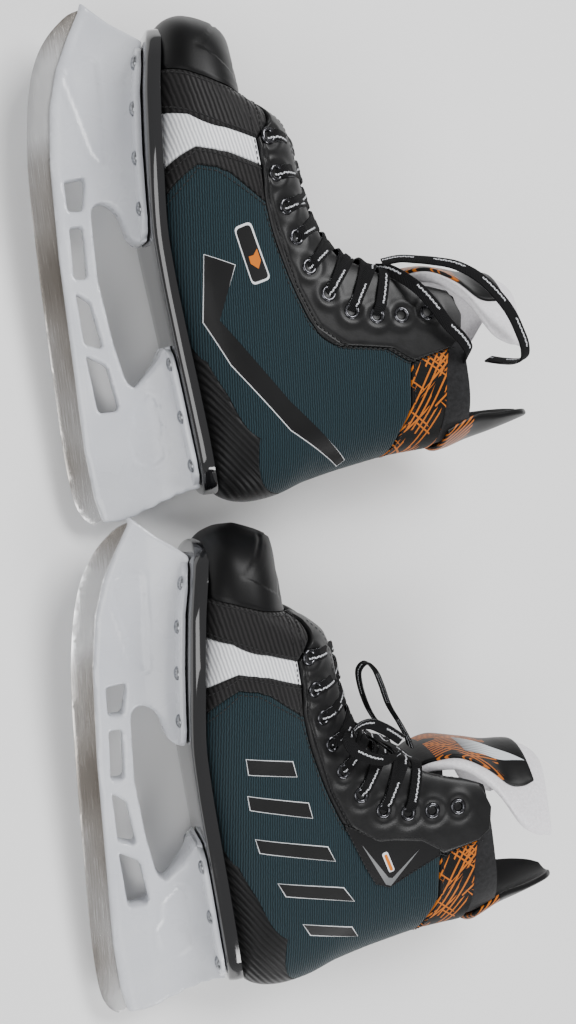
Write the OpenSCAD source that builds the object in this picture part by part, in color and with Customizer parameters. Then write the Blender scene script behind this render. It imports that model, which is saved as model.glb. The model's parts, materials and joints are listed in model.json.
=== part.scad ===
/* [Runner] */
// Length of the steel runner
runner_len = 280; // [276:1:284]
// Thickness of the steel runner
runner_t = 3; // [2.8:0.1:3.2]
// Height of steel showing below the holder
steel_show = 12; // [10:0.5:13]

/* [Holder] */
// Thickness of the blade holder above the steel
holder_t = 10; // [9:0.5:12]
// Width of the holder flanges under the outsole
flange_w = 50; // [46:1:54]
// Diameter of the rivet heads
rivet_d = 7; // [6:0.5:8]

/* [Boot] */
// Thickness of the outer panels
panel_t = 1.8; // [1.4:0.1:2]
// Thickness of the foam liner
liner_t = 3.4; // [3:0.1:4]
// Thickness of the outsole
outsole_t = 4.2; // [4:0.1:4.4]
// Outer diameter of the eyelets
eyelet_d = 9.5; // [8.5:0.5:10]

/* [Lace] */
// Width of the lace
lace_w = 6; // [5:0.5:6]
// Thickness of the lace
lace_t = 1.6; // [1.4:0.1:2]

/* [Lying pose] */
// Distance between the middles of the two skates
pair_gap = 281; // [276:1:300]
// Lean of each skate from flat, boot end up
lean = 12; // [10:0.5:14]
// Rise of the toe above the heel
toe_rise = 4.3; // [3:0.1:6]
// Turn of each toe away from the other skate
toe_out = 1.4; // [0:0.1:2]
// Shift of each skate along its height, the left one towards the boot
skate_shift = 6.3; // [4:0.1:7]

/* [Hidden] */
$fn = 32;
sides = ["left", "right"];
pieces = ["runner", "holder", "runner_bolts", "holder_rivets", "outsole", "insole_board", "footbed",
    "liner", "toe_cap", "toe_band", "outer_flash", "inner_flash", "outer_flash_band",
    "inner_flash_band", "outer_quarter", "inner_quarter", "heel_counter", "outer_eyestay",
    "inner_eyestay", "eyelets", "outer_cuff", "inner_cuff", "tendon_guard", "tongue_base",
    "tongue_skin", "tongue_felt", "lace_crossings", "lace_bow"];

// Colours
steel_c = [0.62, 0.6, 0.58];
plastic_c = [0.86, 0.88, 0.9];
black_c = [0.1, 0.1, 0.11];
leather_c = [0.2, 0.2, 0.21];
band_c = [0.27, 0.26, 0.27];
white_c = [0.9, 0.9, 0.92];
teal_c = [0.16, 0.27, 0.31];
orange_c = [0.75, 0.42, 0.18];
felt_c = [0.9, 0.89, 0.92];
brass_c = [0.5, 0.5, 0.5];

// The skate frame: x runs to the toe, y to the side that lies uppermost, z from the ice to the leg.
// The boot is a fan of sections round a pivot in front of the ankle.
pivot = [60, 230];
// Middle line of the boot from the toe, under the sole and up the back
sole_line = [[133, 99], [132, 90], [126, 80.5], [112, 75.5], [90, 71.5], [60, 69], [15, 67.5],
    [-15, 70], [-45, 73], [-90, 77], [-122, 80], [-134, 87], [-139, 100], [-138, 118], [-132, 138],
    [-127, 165], [-123, 195], [-121, 232]];
// Top line of the boot from the toe, along the throat and up to the collar
throat_line = [[132.5, 103], [130, 110], [124, 116.5], [106, 120], [92, 121], [84, 123], [77, 134],
    [68, 143], [47, 148], [12, 156], [-5, 167], [-14, 183], [-24, 205], [-30, 228], [-32, 240]];
// Half width of the boot against the angle of the fan
half_width = [[60.8, 2], [61.5, 11], [63, 22], [66, 33], [70, 39], [78, 43], [90, 43.5], [100, 41],
    [115, 36], [130, 34], [147, 33], [160, 33], [172, 35], [186, 38]];
// Half width of the throat opening against the angle of the fan
throat_half = [[60.8, 0.3], [76, 0.3], [79, 4], [84, 13], [99, 15], [123, 17], [136, 20], [148, 24],
    [163, 28], [186, 30]];
// Squareness of the lower half of a section
squareness = [[60, 2.4], [75, 3], [118, 3], [140, 2.5], [186, 2.2]];
widest = 0.55;

function fan_angle(p) =
    let (a = atan2(pivot[1] - p[1], p[0] - pivot[0]))
    a < -90 ? a + 360 : a;
function polar(line) = [for (p = line) [fan_angle(p), norm(p - pivot)]];
function slope(t, i) =
    i == 0 ? (t[1][1] - t[0][1]) / (t[1][0] - t[0][0]) :
    i == len(t) - 1 ? (t[i][1] - t[i - 1][1]) / (t[i][0] - t[i - 1][0]) :
    (t[i + 1][1] - t[i - 1][1]) / (t[i + 1][0] - t[i - 1][0]);
function seek(t, x, i) = i >= len(t) - 2 || x < t[i + 1][0] ? i : seek(t, x, i + 1);
// Smooth value of a table at x
function smooth_at(t, x) =
    let (
        i = seek(t, x, 0),
        h = t[i + 1][0] - t[i][0],
        s = min(max((x - t[i][0]) / h, 0), 1),
        a = slope(t, i) * h,
        b = slope(t, i + 1) * h)
    t[i][1] * (1 + 2 * s) * (1 - s) * (1 - s) + a * s * (1 - s) * (1 - s)
        + t[i + 1][1] * s * s * (3 - 2 * s) + b * s * s * (s - 1);
sole_polar = polar(sole_line);
throat_polar = polar(throat_line);

// A place on the middle surface of the shell: a is the fan angle and v runs from 0 under the sole
// or at the back to 1 at the throat, negative on the lower side.
function shell(a, v) =
    let (
        far = smooth_at(sole_polar, a),
        near = smooth_at(throat_polar, a),
        w = smooth_at(half_width, a),
        o = smooth_at(throat_half, a),
        n = smooth_at(squareness, a),
        q = abs(v),
        low = q < 0.5,
        f = low ? 90 - 180 * q : 180 * q - 90,
        sn = pow(max(sin(f), 0), low ? 2 / n : 0.9),
        cs = pow(max(cos(f), 0), low ? 2 / n : 0.9),
        t = low ? widest + (1 - widest) * sn : widest * (1 - sn),
        y = low ? w * cs : o + (w - o) * cs,
        r = near + t * (far - near))
    [pivot[0] + r * cos(a), (v < 0 ? -1 : 1) * y, pivot[1] - r * sin(a)];
// The same place moved outwards by d
function shell_at(a, v, d) =
    let (
        p = shell(a, v),
        da = shell(a + 0.4, v) - shell(a - 0.4, v),
        dv = shell(a, min(v + 0.02, 1)) - shell(a, max(v - 0.02, -1)),
        n = cross(da, dv),
        m = max(norm(n), 0.0001))
    p + d * n / m;
// Fan angle and v of a place seen from the side
function fan_of(p) =
    let (
        a = fan_angle(p),
        far = smooth_at(sole_polar, a),
        near = smooth_at(throat_polar, a),
        n = smooth_at(squareness, a),
        t = min(max((norm(p - pivot) - near) / (far - near), 0), 1),
        v = t > widest ? 0.5 - asin(pow((t - widest) / (1 - widest), n / 2)) / 180
            : 0.5 + asin(pow(1 - t / widest, 1 / 0.9)) / 180)
    [a, v];
// A place along a list, by the share of its length in steps
function along(line, u) =
    let (
        k = min(floor(u * (len(line) - 1)), len(line) - 2),
        s = u * (len(line) - 1) - k)
    line[k] * (1 - s) + line[k + 1] * s;
// A place inside four edges: bottom and top run from the toe, front and back run upwards
function between(bottom, top, front, back, u, w) =
    along(bottom, u) * (1 - w) + along(top, u) * w + along(front, w) * (1 - u) + along(back, w) * u
        - (bottom[0] * (1 - u) + bottom[len(bottom) - 1] * u) * (1 - w)
        - (top[0] * (1 - u) + top[len(top) - 1] * u) * w;
function fan_list(line) = [for (p = line) fan_of(p)];

// A closed solid between two grids of points with nu by nv cells, the outer grid given first
module skin_solid(outer, inner, nu, nv) {
    row = nv + 1;
    half = (nu + 1) * row;
    function at(i, j) = i * row + j;
    polyhedron(
        points = concat(inner, outer),
        faces = concat(
            [for (i = [0:nu - 1]) for (j = [0:nv - 1])
                [at(i, j), at(i + 1, j), at(i + 1, j + 1)]],
            [for (i = [0:nu - 1]) for (j = [0:nv - 1])
                [at(i, j), at(i + 1, j + 1), at(i, j + 1)]],
            [for (i = [0:nu - 1]) for (j = [0:nv - 1])
                [half + at(i, j), half + at(i + 1, j + 1), half + at(i + 1, j)]],
            [for (i = [0:nu - 1]) for (j = [0:nv - 1])
                [half + at(i, j), half + at(i, j + 1), half + at(i + 1, j + 1)]],
            [for (i = [0:nu - 1]) [at(i + 1, 0), at(i, 0), half + at(i, 0)]],
            [for (i = [0:nu - 1]) [at(i + 1, 0), half + at(i, 0), half + at(i + 1, 0)]],
            [for (i = [0:nu - 1]) [at(i, nv), at(i + 1, nv), half + at(i + 1, nv)]],
            [for (i = [0:nu - 1]) [at(i, nv), half + at(i + 1, nv), half + at(i, nv)]],
            [for (j = [0:nv - 1]) [at(0, j), at(0, j + 1), half + at(0, j + 1)]],
            [for (j = [0:nv - 1]) [at(0, j), half + at(0, j + 1), half + at(0, j)]],
            [for (j = [0:nv - 1]) [at(nu, j + 1), at(nu, j), half + at(nu, j)]],
            [for (j = [0:nv - 1]) [at(nu, j + 1), half + at(nu, j), half + at(nu, j + 1)]]));
}

// A panel of the shell between four edges given as the side view shows them
module panel(bottom, top, front, back, low, high, nu, nv, side = 1) {
    b = fan_list(bottom);
    t = fan_list(top);
    f = fan_list(front);
    k = fan_list(back);
    grid = [for (i = [0:nu]) for (j = [0:nv]) between(b, t, f, k, i / nu, j / nv)];
    outer = [for (g = grid) shell_at(g[0], g[1], high)];
    inner = [for (g = grid) shell_at(g[0], g[1], low)];
    if (side > 0) skin_solid(outer, inner, nu, nv);
    else mirror([0, 1, 0]) skin_solid(outer, inner, nu, nv);
}

// Edges of the panels, bottom to top or toe to heel
cap_edge = [[101, 74], [96, 88], [90, 103], [85, 119]];
band_edge = [[80, 70.6], [74, 86], [66, 104], [60, 121]];
flash_edge = [[44, 68.6], [57, 88], [55, 97], [46, 123]];
quarter_edge = [[28, 68.2], [48, 88], [46, 98], [27, 124]];
stay_edge = [[84, 120.6], [60, 122], [46, 123.4], [27, 124], [-20, 136], [-43, 146], [-57, 163],
    [-61, 190], [-70, 203], [-64, 227]];
stay_top = [[83.2, 123], [77, 134], [68, 143], [47, 148], [12, 156], [-5, 167], [-14, 183],
    [-24, 205], [-28, 220], [-31, 230]];
stay_end = [[-64, 227], [-58, 235], [-45, 237], [-31, 230]];
counter_top = [[-42, 73], [-56.6, 81], [-76.8, 89.8], [-101.8, 105.4], [-135.3, 125.6]];
counter_foot = [[-42, 72], [-90, 76.5], [-122, 79.5], [-137, 89], [-141, 108], [-137, 128.5]];
quarter_foot = [[28, 68.2], [0, 69], [-38, 72.5], [-55, 83], [-75, 92], [-100, 108], [-134, 130]];
quarter_top = [[27, 124], [-20, 136], [-43, 146], [-57, 163], [-61, 190], [-70, 203], [-95, 201],
    [-110, 194], [-124, 187]];
quarter_back = [[-134, 130], [-128, 160], [-124, 187]];
cuff_foot = [[-70.4, 204], [-95, 202], [-110.2, 195], [-123.8, 188]];
cuff_top = [[-64.5, 227], [-80, 224], [-97, 223], [-121.5, 220]];
cuff_front = [[-70.4, 204], [-64.5, 227]];
cuff_back = [[-123.8, 188], [-121.5, 220]];

gap = 0.3;
liner_gap = 1.5;
panel_in = 0;
panel_out = panel_t;

module liner() {
    nu = 24;
    nv = 20;
    start = 61.6;
    finish = 181;
    eased = 0.35;
    function a_at(i) = start + (finish - start) * (eased * (1 - cos(90 * i / nu)) + (1 - eased) * i / nu);
    grid = [for (i = [0:nu]) for (j = [0:nv]) [a_at(i), -0.97 + 1.94 * j / nv]];
    outer = [for (g = grid) shell_at(g[0], g[1], -liner_gap)];
    inner = [for (g = grid) shell_at(g[0], g[1], -liner_gap - liner_t)];
    color(black_c) skin_solid(outer, inner, nu, nv);
}

module toe_cap() {
    nu = 9;
    nv = 24;
    edge = fan_list(cap_edge);
    nose = 61;
    edge_gap = 0.4;
    function a_end(v) = lookup(abs(v), [for (e = edge) [e[1], e[0]]]) - edge_gap;
    grid = [for (i = [0:nu]) for (j = [0:nv])
        let (v = -0.995 + 1.99 * j / nv) [nose + (a_end(v) - nose) * pow(i / nu, 1.6), v]];
    outer = [for (g = grid) shell_at(g[0], g[1], panel_out)];
    inner = [for (g = grid) shell_at(g[0], g[1], panel_in)];
    color(black_c) skin_solid(outer, inner, nu, nv);
}

module toe_band() {
    for (s = [1, -1]) color(band_c)
        panel([cap_edge[0], band_edge[0]], [cap_edge[3], band_edge[3]], cap_edge, band_edge,
            panel_in, panel_out, 3, 10, s);
}

module flash(side) {
    color(white_c)
        panel([band_edge[0], flash_edge[0]], [band_edge[3], flash_edge[3]], band_edge, flash_edge,
            panel_in, panel_out, 4, 10, side);
}

module flash_band(side) {
    color(band_c)
        panel([flash_edge[0], quarter_edge[0]], [flash_edge[3], quarter_edge[3]], flash_edge,
            quarter_edge, panel_in, panel_out, 3, 10, side);
}

module quarter(side) {
    color(teal_c)
        panel(quarter_foot, quarter_top, quarter_edge, quarter_back, panel_in, panel_out, 24, 10, side);
}

module eyestay(side) {
    color(leather_c)
        panel(stay_edge, stay_top, [stay_edge[0], stay_top[0]], stay_end, panel_in, panel_out, 27, 5, side);
}

module cuff(side) {
    color(orange_c)
        panel(cuff_foot, cuff_top, cuff_front, cuff_back, panel_in, panel_out, 8, 4, side);
}

// The counter is one cup that wraps both sides of the heel
module heel_counter() {
    nu = 16;
    nv = 6;
    b = fan_list(counter_foot);
    t = fan_list(counter_top);
    f = [b[0], t[0]];
    k = [b[len(b) - 1], t[len(t) - 1]];
    function place_at(i, j) =
        let (g = between(b, t, f, k, i / nu, abs(j) / nv))
        [g[0], j < 0 ? -g[1] : g[1]];
    grid = [for (i = [0:nu]) for (j = [-nv:nv]) place_at(i, j)];
    outer = [for (g = grid) shell_at(g[0], g[1], panel_out)];
    inner = [for (g = grid) shell_at(g[0], g[1], panel_in)];
    color(black_c) skin_solid(outer, inner, nu, 2 * nv);
}

// Places of the eyelets, from the toe to the collar
eyelet_places = [[61, 128], [42, 131], [24, 136], [7, 141], [-10, 147], [-26, 157], [-37, 170],
    [-41, 185], [-42, 200], [-42, 216]];
laced = 8;

// Puts children on the panel surface at a place seen from the side, z outwards
module on_shell(p, d, side) {
    f = fan_of(p);
    v = side * f[1];
    c = shell_at(f[0], v, d);
    o = shell_at(f[0], v, d + 1);
    n = o - c;
    turn = atan2(n[1], n[0]);
    tilt = acos(n[2]);
    translate(c) rotate([0, tilt, turn]) children();
}

module eyelet() {
    rim_t = 1.4;
    bore = eyelet_d * 0.26;
    color(brass_c) rotate_extrude($fn = 24)
        translate([bore, 0]) square([eyelet_d / 2 - bore, rim_t]);
}

// The rims stand just clear of the curved stay, because a flat rim can't follow the curve
eyelet_lift = 0.25;
module eyelets() {
    for (p = eyelet_places) for (side = [1, -1])
        on_shell(p, panel_out + eyelet_lift, side) eyelet();
}

// A plate that follows the sole: stations are x, rise above the sole line and half width
module sole_plate(stations, top, thick) {
    n = len(stations);
    points = [for (s = stations)
        for (c = [[-1, top], [1, top], [1, top - thick], [-1, top - thick]])
            [s[0], c[0] * s[2], s[1] + c[1]]];
    polyhedron(points = points, faces = concat(
        [[0, 1, 2, 3]],
        [[4 * n - 1, 4 * n - 2, 4 * n - 3, 4 * n - 4]],
        [for (i = [0:n - 2]) for (k = [0:3])
            let (a = 4 * i + k, b = 4 * i + (k + 1) % 4) [a, a + 4, b]],
        [for (i = [0:n - 2]) for (k = [0:3])
            let (a = 4 * i + k, b = 4 * i + (k + 1) % 4) [b, a + 4, b + 4]]));
}
outsole_plan = [[127, 81, 10], [124, 79.6, 22], [118, 77.2, 29], [108, 74.8, 35], [90, 71.5, 38.5],
    [60, 69, 39], [35, 67.9, 35], [15, 67.5, 31], [-15, 70, 28], [-45, 73, 27], [-70, 75.3, 28],
    [-95, 77.4, 29], [-115, 79.2, 27], [-127, 81, 20], [-132, 82.5, 10]];
board_plan = [[108, 77, 12], [100, 75.2, 18], [90, 73.5, 22], [60, 71, 25], [35, 69.9, 23], [15, 69.5, 20],
    [-15, 72, 17], [-45, 75, 15], [-70, 77.3, 15], [-95, 79.4, 14], [-108, 80.7, 10]];
board_t = 2;
footbed_t = 3.6;
board_lift = 1.4;
board_top = liner_gap + liner_t + board_lift + board_t;
footbed_top = board_top + gap + footbed_t;
sole_gap = panel_out + 2 * gap;
outsole_drop = sole_gap + outsole_t;

module outsole() {
    color(black_c) sole_plate(outsole_plan, -sole_gap, outsole_t);
}

module insole_board() {
    color("tan") sole_plate(board_plan, board_top, board_t);
}

module footbed() {
    color("dimgray") sole_plate(board_plan, footbed_top, footbed_t);
}

// Line under the outsole where the flanges sit
function under(p) = [p[0], p[1] - outsole_drop - gap];
front_top = [for (p = [[120, 78], [112, 75.7], [90, 71.5], [60, 69], [35, 67.9], [13, 67.5]]) under(p)];
rear_top = [for (p = [[-45, 73], [-70, 75.3], [-95, 77.4], [-128, 80.5]]) under(p)];
flange_t = 3.6;
function dropped(line, d) = [for (p = line) p - [0, d]];
function backwards(line) = [for (i = [len(line) - 1:-1:0]) line[i]];
steel_top = [[-141, steel_show + 5], [-127, steel_show + 2], [-100, steel_show], [8, steel_show],
    [60, steel_show + 2], [90, steel_show + 6], [110, steel_show + 12], [126, steel_show + 20],
    [140, steel_show + 28]];
front_tower_back = [[17, 52], [30, 48], [37, 41], [36, 33]];
bridge_top = [[20, 32.5], [-5, 32], [-40, 36], [-64, 40]];
rear_tower_front = [[-66, 44], [-55, 57], [-48, 62]];
windows = [
    [[50, 20], [51, 31], [33, 27.5], [34, 20.5]],
    [[25, 19.5], [25, 27], [-4, 26], [-3, 18.5]],
    [[-11, 18.5], [-17, 26], [-43, 29.5], [-39, 19.5]],
    [[-46, 19.5], [-53, 30.5], [-79, 34], [-78, 22]]];

module side_prism(outline, w) {
    translate([0, w / 2, 0]) rotate([90, 0, 0]) linear_extrude(w) polygon(outline);
}

module holder_side() {
    side_prism(concat(steel_top, [[144, steel_show + 29], [125, 65]], front_top, front_tower_back,
        bridge_top, rear_tower_front, rear_top, [[-129, 66], [-141.5, 26]]), holder_t);
}

module tower_flare(outline) {
    flare = [[-7, 44], [-16, 58], [-16, 90], [16, 90], [16, 58], [7, 44]];
    intersection() {
        side_prism(outline, 40);
        translate([-160, 0, 0]) rotate([90, 0, 90]) linear_extrude(320) polygon(flare);
    }
}

module flange(line, plan) {
    intersection() {
        side_prism(concat(line, backwards(dropped(line, flange_t))), flange_w + 20);
        linear_extrude(120) polygon(concat([for (p = plan) [p[0], p[1] * flange_w / 2]],
            [for (p = backwards(plan)) [p[0], -p[1] * flange_w / 2]]));
    }
}
front_plan = [[119, 0.35], [114, 0.8], [104, 1.05], [85, 1.1], [50, 1.06], [25, 1], [16, 0.8],
    [13.5, 0.4]];
rear_plan = [[-46, 0.4], [-49, 0.75], [-58, 0.92], [-80, 0.96], [-110, 0.98], [-122, 0.85],
    [-127, 0.45]];
rivet_x_front = [107, 83, 57, 30];
rivet_x_rear = [-56, -86, -114];

// The step of a falling line that holds x
function step_of(line, x) = [for (k = [0:len(line) - 2]) if (x <= line[k][0] && x >= line[k + 1][0]) k][0];
function line_z(line, x) =
    let (i = step_of(line, x),
        s = (x - line[i][0]) / (line[i + 1][0] - line[i][0]))
    line[i][1] * (1 - s) + line[i + 1][1] * s;
function line_tilt(line, x) =
    let (i = step_of(line, x))
    atan2(line[i][1] - line[i + 1][1], line[i][0] - line[i + 1][0]);
rivet_y = flange_w * 0.42;
// Rivets along a line: x, y, z and tilt
function rivets_on(line, xs) =
    [for (x = xs) for (s = [-1, 1]) [x, s * rivet_y, line_z(line, x), line_tilt(line, x)]];
rivet_places = concat(rivets_on(front_top, rivet_x_front), rivets_on(rear_top, rivet_x_rear));
slot_depth = 7;
bolt_x = [62, -98];
bolt_z = steel_show + 4;

module runner_side(extra) {
    low = [[-142, 12], [-138, 7], [-127, 2.5], [-100, 0.3], [-60, 0], [0, 0.2], [50, 1.4], [78, 4],
        [100, 8.2], [116, 14], [128, 22], [138, 33], [141, steel_show + 28]];
    high = [[128, steel_show + 28 + extra], [112, steel_show + 19 + extra],
        [92, steel_show + slot_depth + 4 + extra], [60, steel_show + slot_depth + extra],
        [-120, steel_show + slot_depth - 1 + extra], [-138, steel_show + slot_depth + extra]];
    drawn_len = 283;
    polygon([for (p = concat(low, high)) [p[0] * runner_len / drawn_len, p[1]]]);
}

module runner() {
    color(steel_c) difference() {
        translate([0, runner_t / 2, 0]) rotate([90, 0, 0]) linear_extrude(runner_t) runner_side(0);
        for (x = bolt_x) translate([x, 5, bolt_z]) rotate([90, 0, 0]) cylinder(d = 4.2, h = 10);
    }
}

module holder() {
    rivet_hole = 4.2;
    color(plastic_c) difference() {
        union() {
            holder_side();
            tower_flare(concat([[128, 40], [125, 62]], dropped(front_top, 1), front_tower_back));
            tower_flare(concat(rear_tower_front, dropped(rear_top, 1), [[-131, 60], [-136, 40]]));
            flange(front_top, front_plan);
            flange(rear_top, rear_plan);
        }
        translate([0, runner_t / 2 + 0.1, 0]) rotate([90, 0, 0]) linear_extrude(runner_t + 0.2)
            runner_side(0.2);
        for (w = windows) side_prism(w, 60);
        for (x = bolt_x) translate([x, 10, bolt_z]) rotate([90, 0, 0]) cylinder(d = 4.2, h = 20);
        for (r = rivet_places) translate([r[0], r[1], r[2]]) rotate([0, -r[3], 0])
            translate([0, 0, -20]) cylinder(d = rivet_hole, h = 30);
    }
}

module holder_rivets() {
    shank_d = 4;
    head_t = 1.4;
    color("gainsboro") for (r = rivet_places) translate([r[0], r[1], r[2]]) rotate([0, -r[3], 0]) {
        translate([0, 0, -flange_t - head_t - 0.2]) cylinder(d = rivet_d, h = head_t);
        translate([0, 0, -flange_t - 0.5]) cylinder(d = shank_d, h = flange_t + 0.4);
    }
}

module runner_bolts() {
    color("silver") for (x = bolt_x) translate([x, holder_t / 2 - 1, bolt_z]) rotate([90, 0, 0])
        cylinder(d = 4, h = holder_t - 2);
}

// Tongue stations: x and z of the front face, half width, fall of the wings, way of the wings in degrees
tongue_low = [[79, 121, 18, 5, -82], [60, 134, 23, 8, -80], [30, 138.5, 26, 9, -84], [5, 146, 27, 10, -100],
    [-9, 157, 24, 8, -130], [-15.5, 172, 21, 5, -155], [-19.5, 186, 18, 3, -168], [-20, 196, 17, 2, 180]];
tongue_high = [[-15, 199, 17, 2, 180], [-12.5, 208, 22, 3, 178], [-12, 224, 31, 5, 176],
    [-14, 239, 38, 16, 176], [-17, 252, 43, 34, 178], [-18, 262, 45, 40, 180], [-19, 271, 45, 41, 183]];
tongue_tip = [[-19.5, 271.6, 44, 41, 183], [-21.5, 278, 43, 40, 186], [-26, 284.5, 38, 34, 195],
    [-32, 289, 30, 24, 205]];

module wing_sheet(stations, start, thick, nv, faces_toe = true) {
    n = len(stations) - 1;
    function place_at(s, q, d) =
        let (back = s[3] * q * q + d)
        [s[0] + cos(s[4]) * back, q * (s[2] - 0.35 * d), s[1] + sin(s[4]) * back];
    outer = [for (s = stations) for (j = [0:nv]) place_at(s, -1 + 2 * j / nv, start)];
    inner = [for (s = stations) for (j = [0:nv]) place_at(s, -1 + 2 * j / nv, start + thick)];
    if (faces_toe) skin_solid(inner, outer, n, nv);
    else skin_solid(outer, inner, n, nv);
}

base_t = 7;
skin_t = 2.4;
felt_gap = 0.1;
felt_t = 6;

module tongue_base() {
    color(leather_c) wing_sheet(tongue_low, 0, base_t, 10);
}

module tongue_skin() {
    color(orange_c) wing_sheet(tongue_high, 0, skin_t, 12);
}

module tongue_felt() {
    color(felt_c) wing_sheet(concat(tongue_high, tongue_tip), skin_t + felt_gap, felt_t, 12);
}

// Tendon guard stations: x and z of the back face, half width, reach of the wings, way of the wings
guard_stations = [[-126.5, 225, 31, 12, 0], [-125, 234, 30, 14, 2], [-121.5, 247, 27, 14, 3],
    [-118.5, 262, 22, 10, 3], [-115.5, 275, 18, 7, 0], [-113, 285, 13, 4, -5], [-111.5, 291, 7, 1.5, -10]];
guard_t = 3.5;

module tendon_guard() {
    color(black_c) wing_sheet(guard_stations, 0, guard_t, 12, false);
}

// A flat tube along route points; each ring is an ellipse whose width lies across the way given
module tape(route, across) {
    n = len(route);
    k = 8;
    function dir(i) =
        let (a = route[max(i - 1, 0)], b = route[min(i + 1, n - 1)])
        (b - a) / norm(b - a);
    function ring(i) =
        let (
            t = dir(i),
            w0 = across[min(i, len(across) - 1)],
            w1 = w0 - (w0 * t) * t,
            w = w1 / norm(w1),
            h = cross(t, w))
        [for (j = [0:k - 1]) let (turn = 360 * j / k)
            route[i] + w * lace_w / 2 * cos(turn) + h * lace_t / 2 * sin(turn)];
    polyhedron(
        points = [for (i = [0:n - 1]) each ring(i)],
        faces = concat(
            [[for (j = [0:k - 1]) j]],
            [[for (j = [k - 1:-1:0]) (n - 1) * k + j]],
            [for (i = [0:n - 2]) for (j = [0:k - 1])
                let (a = i * k + j, b = i * k + (j + 1) % k) [a, a + k, b]],
            [for (i = [0:n - 2]) for (j = [0:k - 1])
                let (a = i * k + j, b = i * k + (j + 1) % k) [b, a + k, b + k]]));
}

// One pass of the lace from an eyelet on one side to the next eyelet on the other
module crossing(i, side) {
    a = fan_of(eyelet_places[i] + [1.6, -0.4]);
    b = fan_of(eyelet_places[i + 1] - [1.6, -0.4]);
    over_eyelet = 7.2;
    over_edge = 7.8;
    lift = 6.6;
    start = shell_at(a[0], side * a[1], over_eyelet);
    edge_a = shell_at(a[0], side * 0.97, over_edge);
    middle = shell((a[0] + b[0]) / 2, 1);
    out = [middle[0] - pivot[0], 0, middle[2] - pivot[1]];
    centre = [middle[0], 0, middle[2]] - out / norm(out) * lift;
    edge_b = shell_at(b[0], -side * 0.97, over_edge);
    finish = shell_at(b[0], -side * b[1], over_eyelet);
    route = [start, (start * 0.4 + edge_a * 0.6), edge_a, (edge_a + centre) / 2, centre,
        (edge_b + centre) / 2, edge_b, (finish * 0.4 + edge_b * 0.6), finish];
    tape(route, [eyelet_way(i)]);
}
function eyelet_way(i) =
    let (d = eyelet_places[i + 1] - eyelet_places[i])
    [d[0], 0, d[1]] / norm(d);

module lace_crossings() {
    color(black_c) for (i = [0:laced - 2]) crossing(i, i % 2 == 0 ? 1 : -1);
}

// Free ends of the left lace: one over the collar, one past the side of the tongue and round its tip
tail_over_collar = [[-13, 20, 192], [-15, 28, 197], [-21, 36, 203], [-29, 41.5, 210], [-39, 44, 217],
    [-50, 45, 224], [-59, 45, 232], [-66, 42, 237], [-71, 35, 238], [-73, 29, 236.5], [-74.5, 26, 230],
    [-75.5, 25, 220], [-76, 24.5, 208]];
tail_round_tongue = [[-10, 25, 195], [-9, 27, 205], [-10.5, 31.5, 213], [-13, 37, 223], [-17, 42.5, 234],
    [-25, 47, 245], [-36, 50.5, 254], [-47, 52, 261], [-58, 51.5, 266], [-67, 50, 269.5], [-74, 44, 272],
    [-76, 33, 272], [-75, 20, 270], [-73, 8, 267]];
// Bow of the right lace: one standing loop and one loop along the throat
loop_standing = [[-6, 20, 194], [0, 21, 192], [9, 20, 188], [20, 17, 183], [32, 15, 180], [41, 13.5, 177],
    [46, 13, 172], [42, 12, 167.5], [33, 11, 168], [22, 10, 171], [13, 9, 175], [6, 8, 180], [1, 7, 185]];
loop_side = [[0, 24, 187], [6, 29, 180], [12, 34, 172], [17, 38, 163], [17, 41.5, 154], [12, 42.5, 148],
    [5, 43, 151], [0, 42.5, 158], [-4, 40, 166], [-6, 37, 174], [-5, 33, 182]];

module lace_bow(side) {
    color(black_c) {
        if (side == "left") {
            tape(tail_over_collar, [[1, 0.2, 0.6]]);
            tape(tail_round_tongue, [[0.4, -0.2, 1]]);
        } else {
            tape(loop_standing, [[0, 1, 0.1]]);
            tape(loop_side, [[0.6, 0, 0.8]]);
        }
    }
}

// Lays a skate on its side, toe to +y and leg to +x
lying_x = -144.62;
lying_y = -0.82;
lying_z = 20.67;
function outer_sign(s) = s == "left" ? 1 : -1;
module lay(s) {
    way = outer_sign(s);
    translate([lying_x + way * skate_shift, lying_y + way * pair_gap / 2, lying_z])
        rotate([0, 0, way * toe_out]) rotate([0, -lean, 0]) rotate([toe_rise, 0, 0])
            rotate([90, 0, 90]) children();
}

for (s = sides) lay(s) {
    runner();
    holder();
    runner_bolts();
    holder_rivets();
    outsole();
    insole_board();
    footbed();
    liner();
    toe_cap();
    toe_band();
    flash(outer_sign(s));
    flash(-outer_sign(s));
    flash_band(outer_sign(s));
    flash_band(-outer_sign(s));
    quarter(outer_sign(s));
    quarter(-outer_sign(s));
    heel_counter();
    eyestay(outer_sign(s));
    eyestay(-outer_sign(s));
    eyelets();
    cuff(outer_sign(s));
    cuff(-outer_sign(s));
    tendon_guard();
    tongue_base();
    tongue_skin();
    tongue_felt();
    lace_crossings();
    lace_bow(s);
}
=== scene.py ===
# A pair of ice hockey skates lying on their sides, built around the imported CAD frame.
import json
import math

import bmesh
import bpy
import numpy as np
from mathutils import Matrix, Vector


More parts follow.
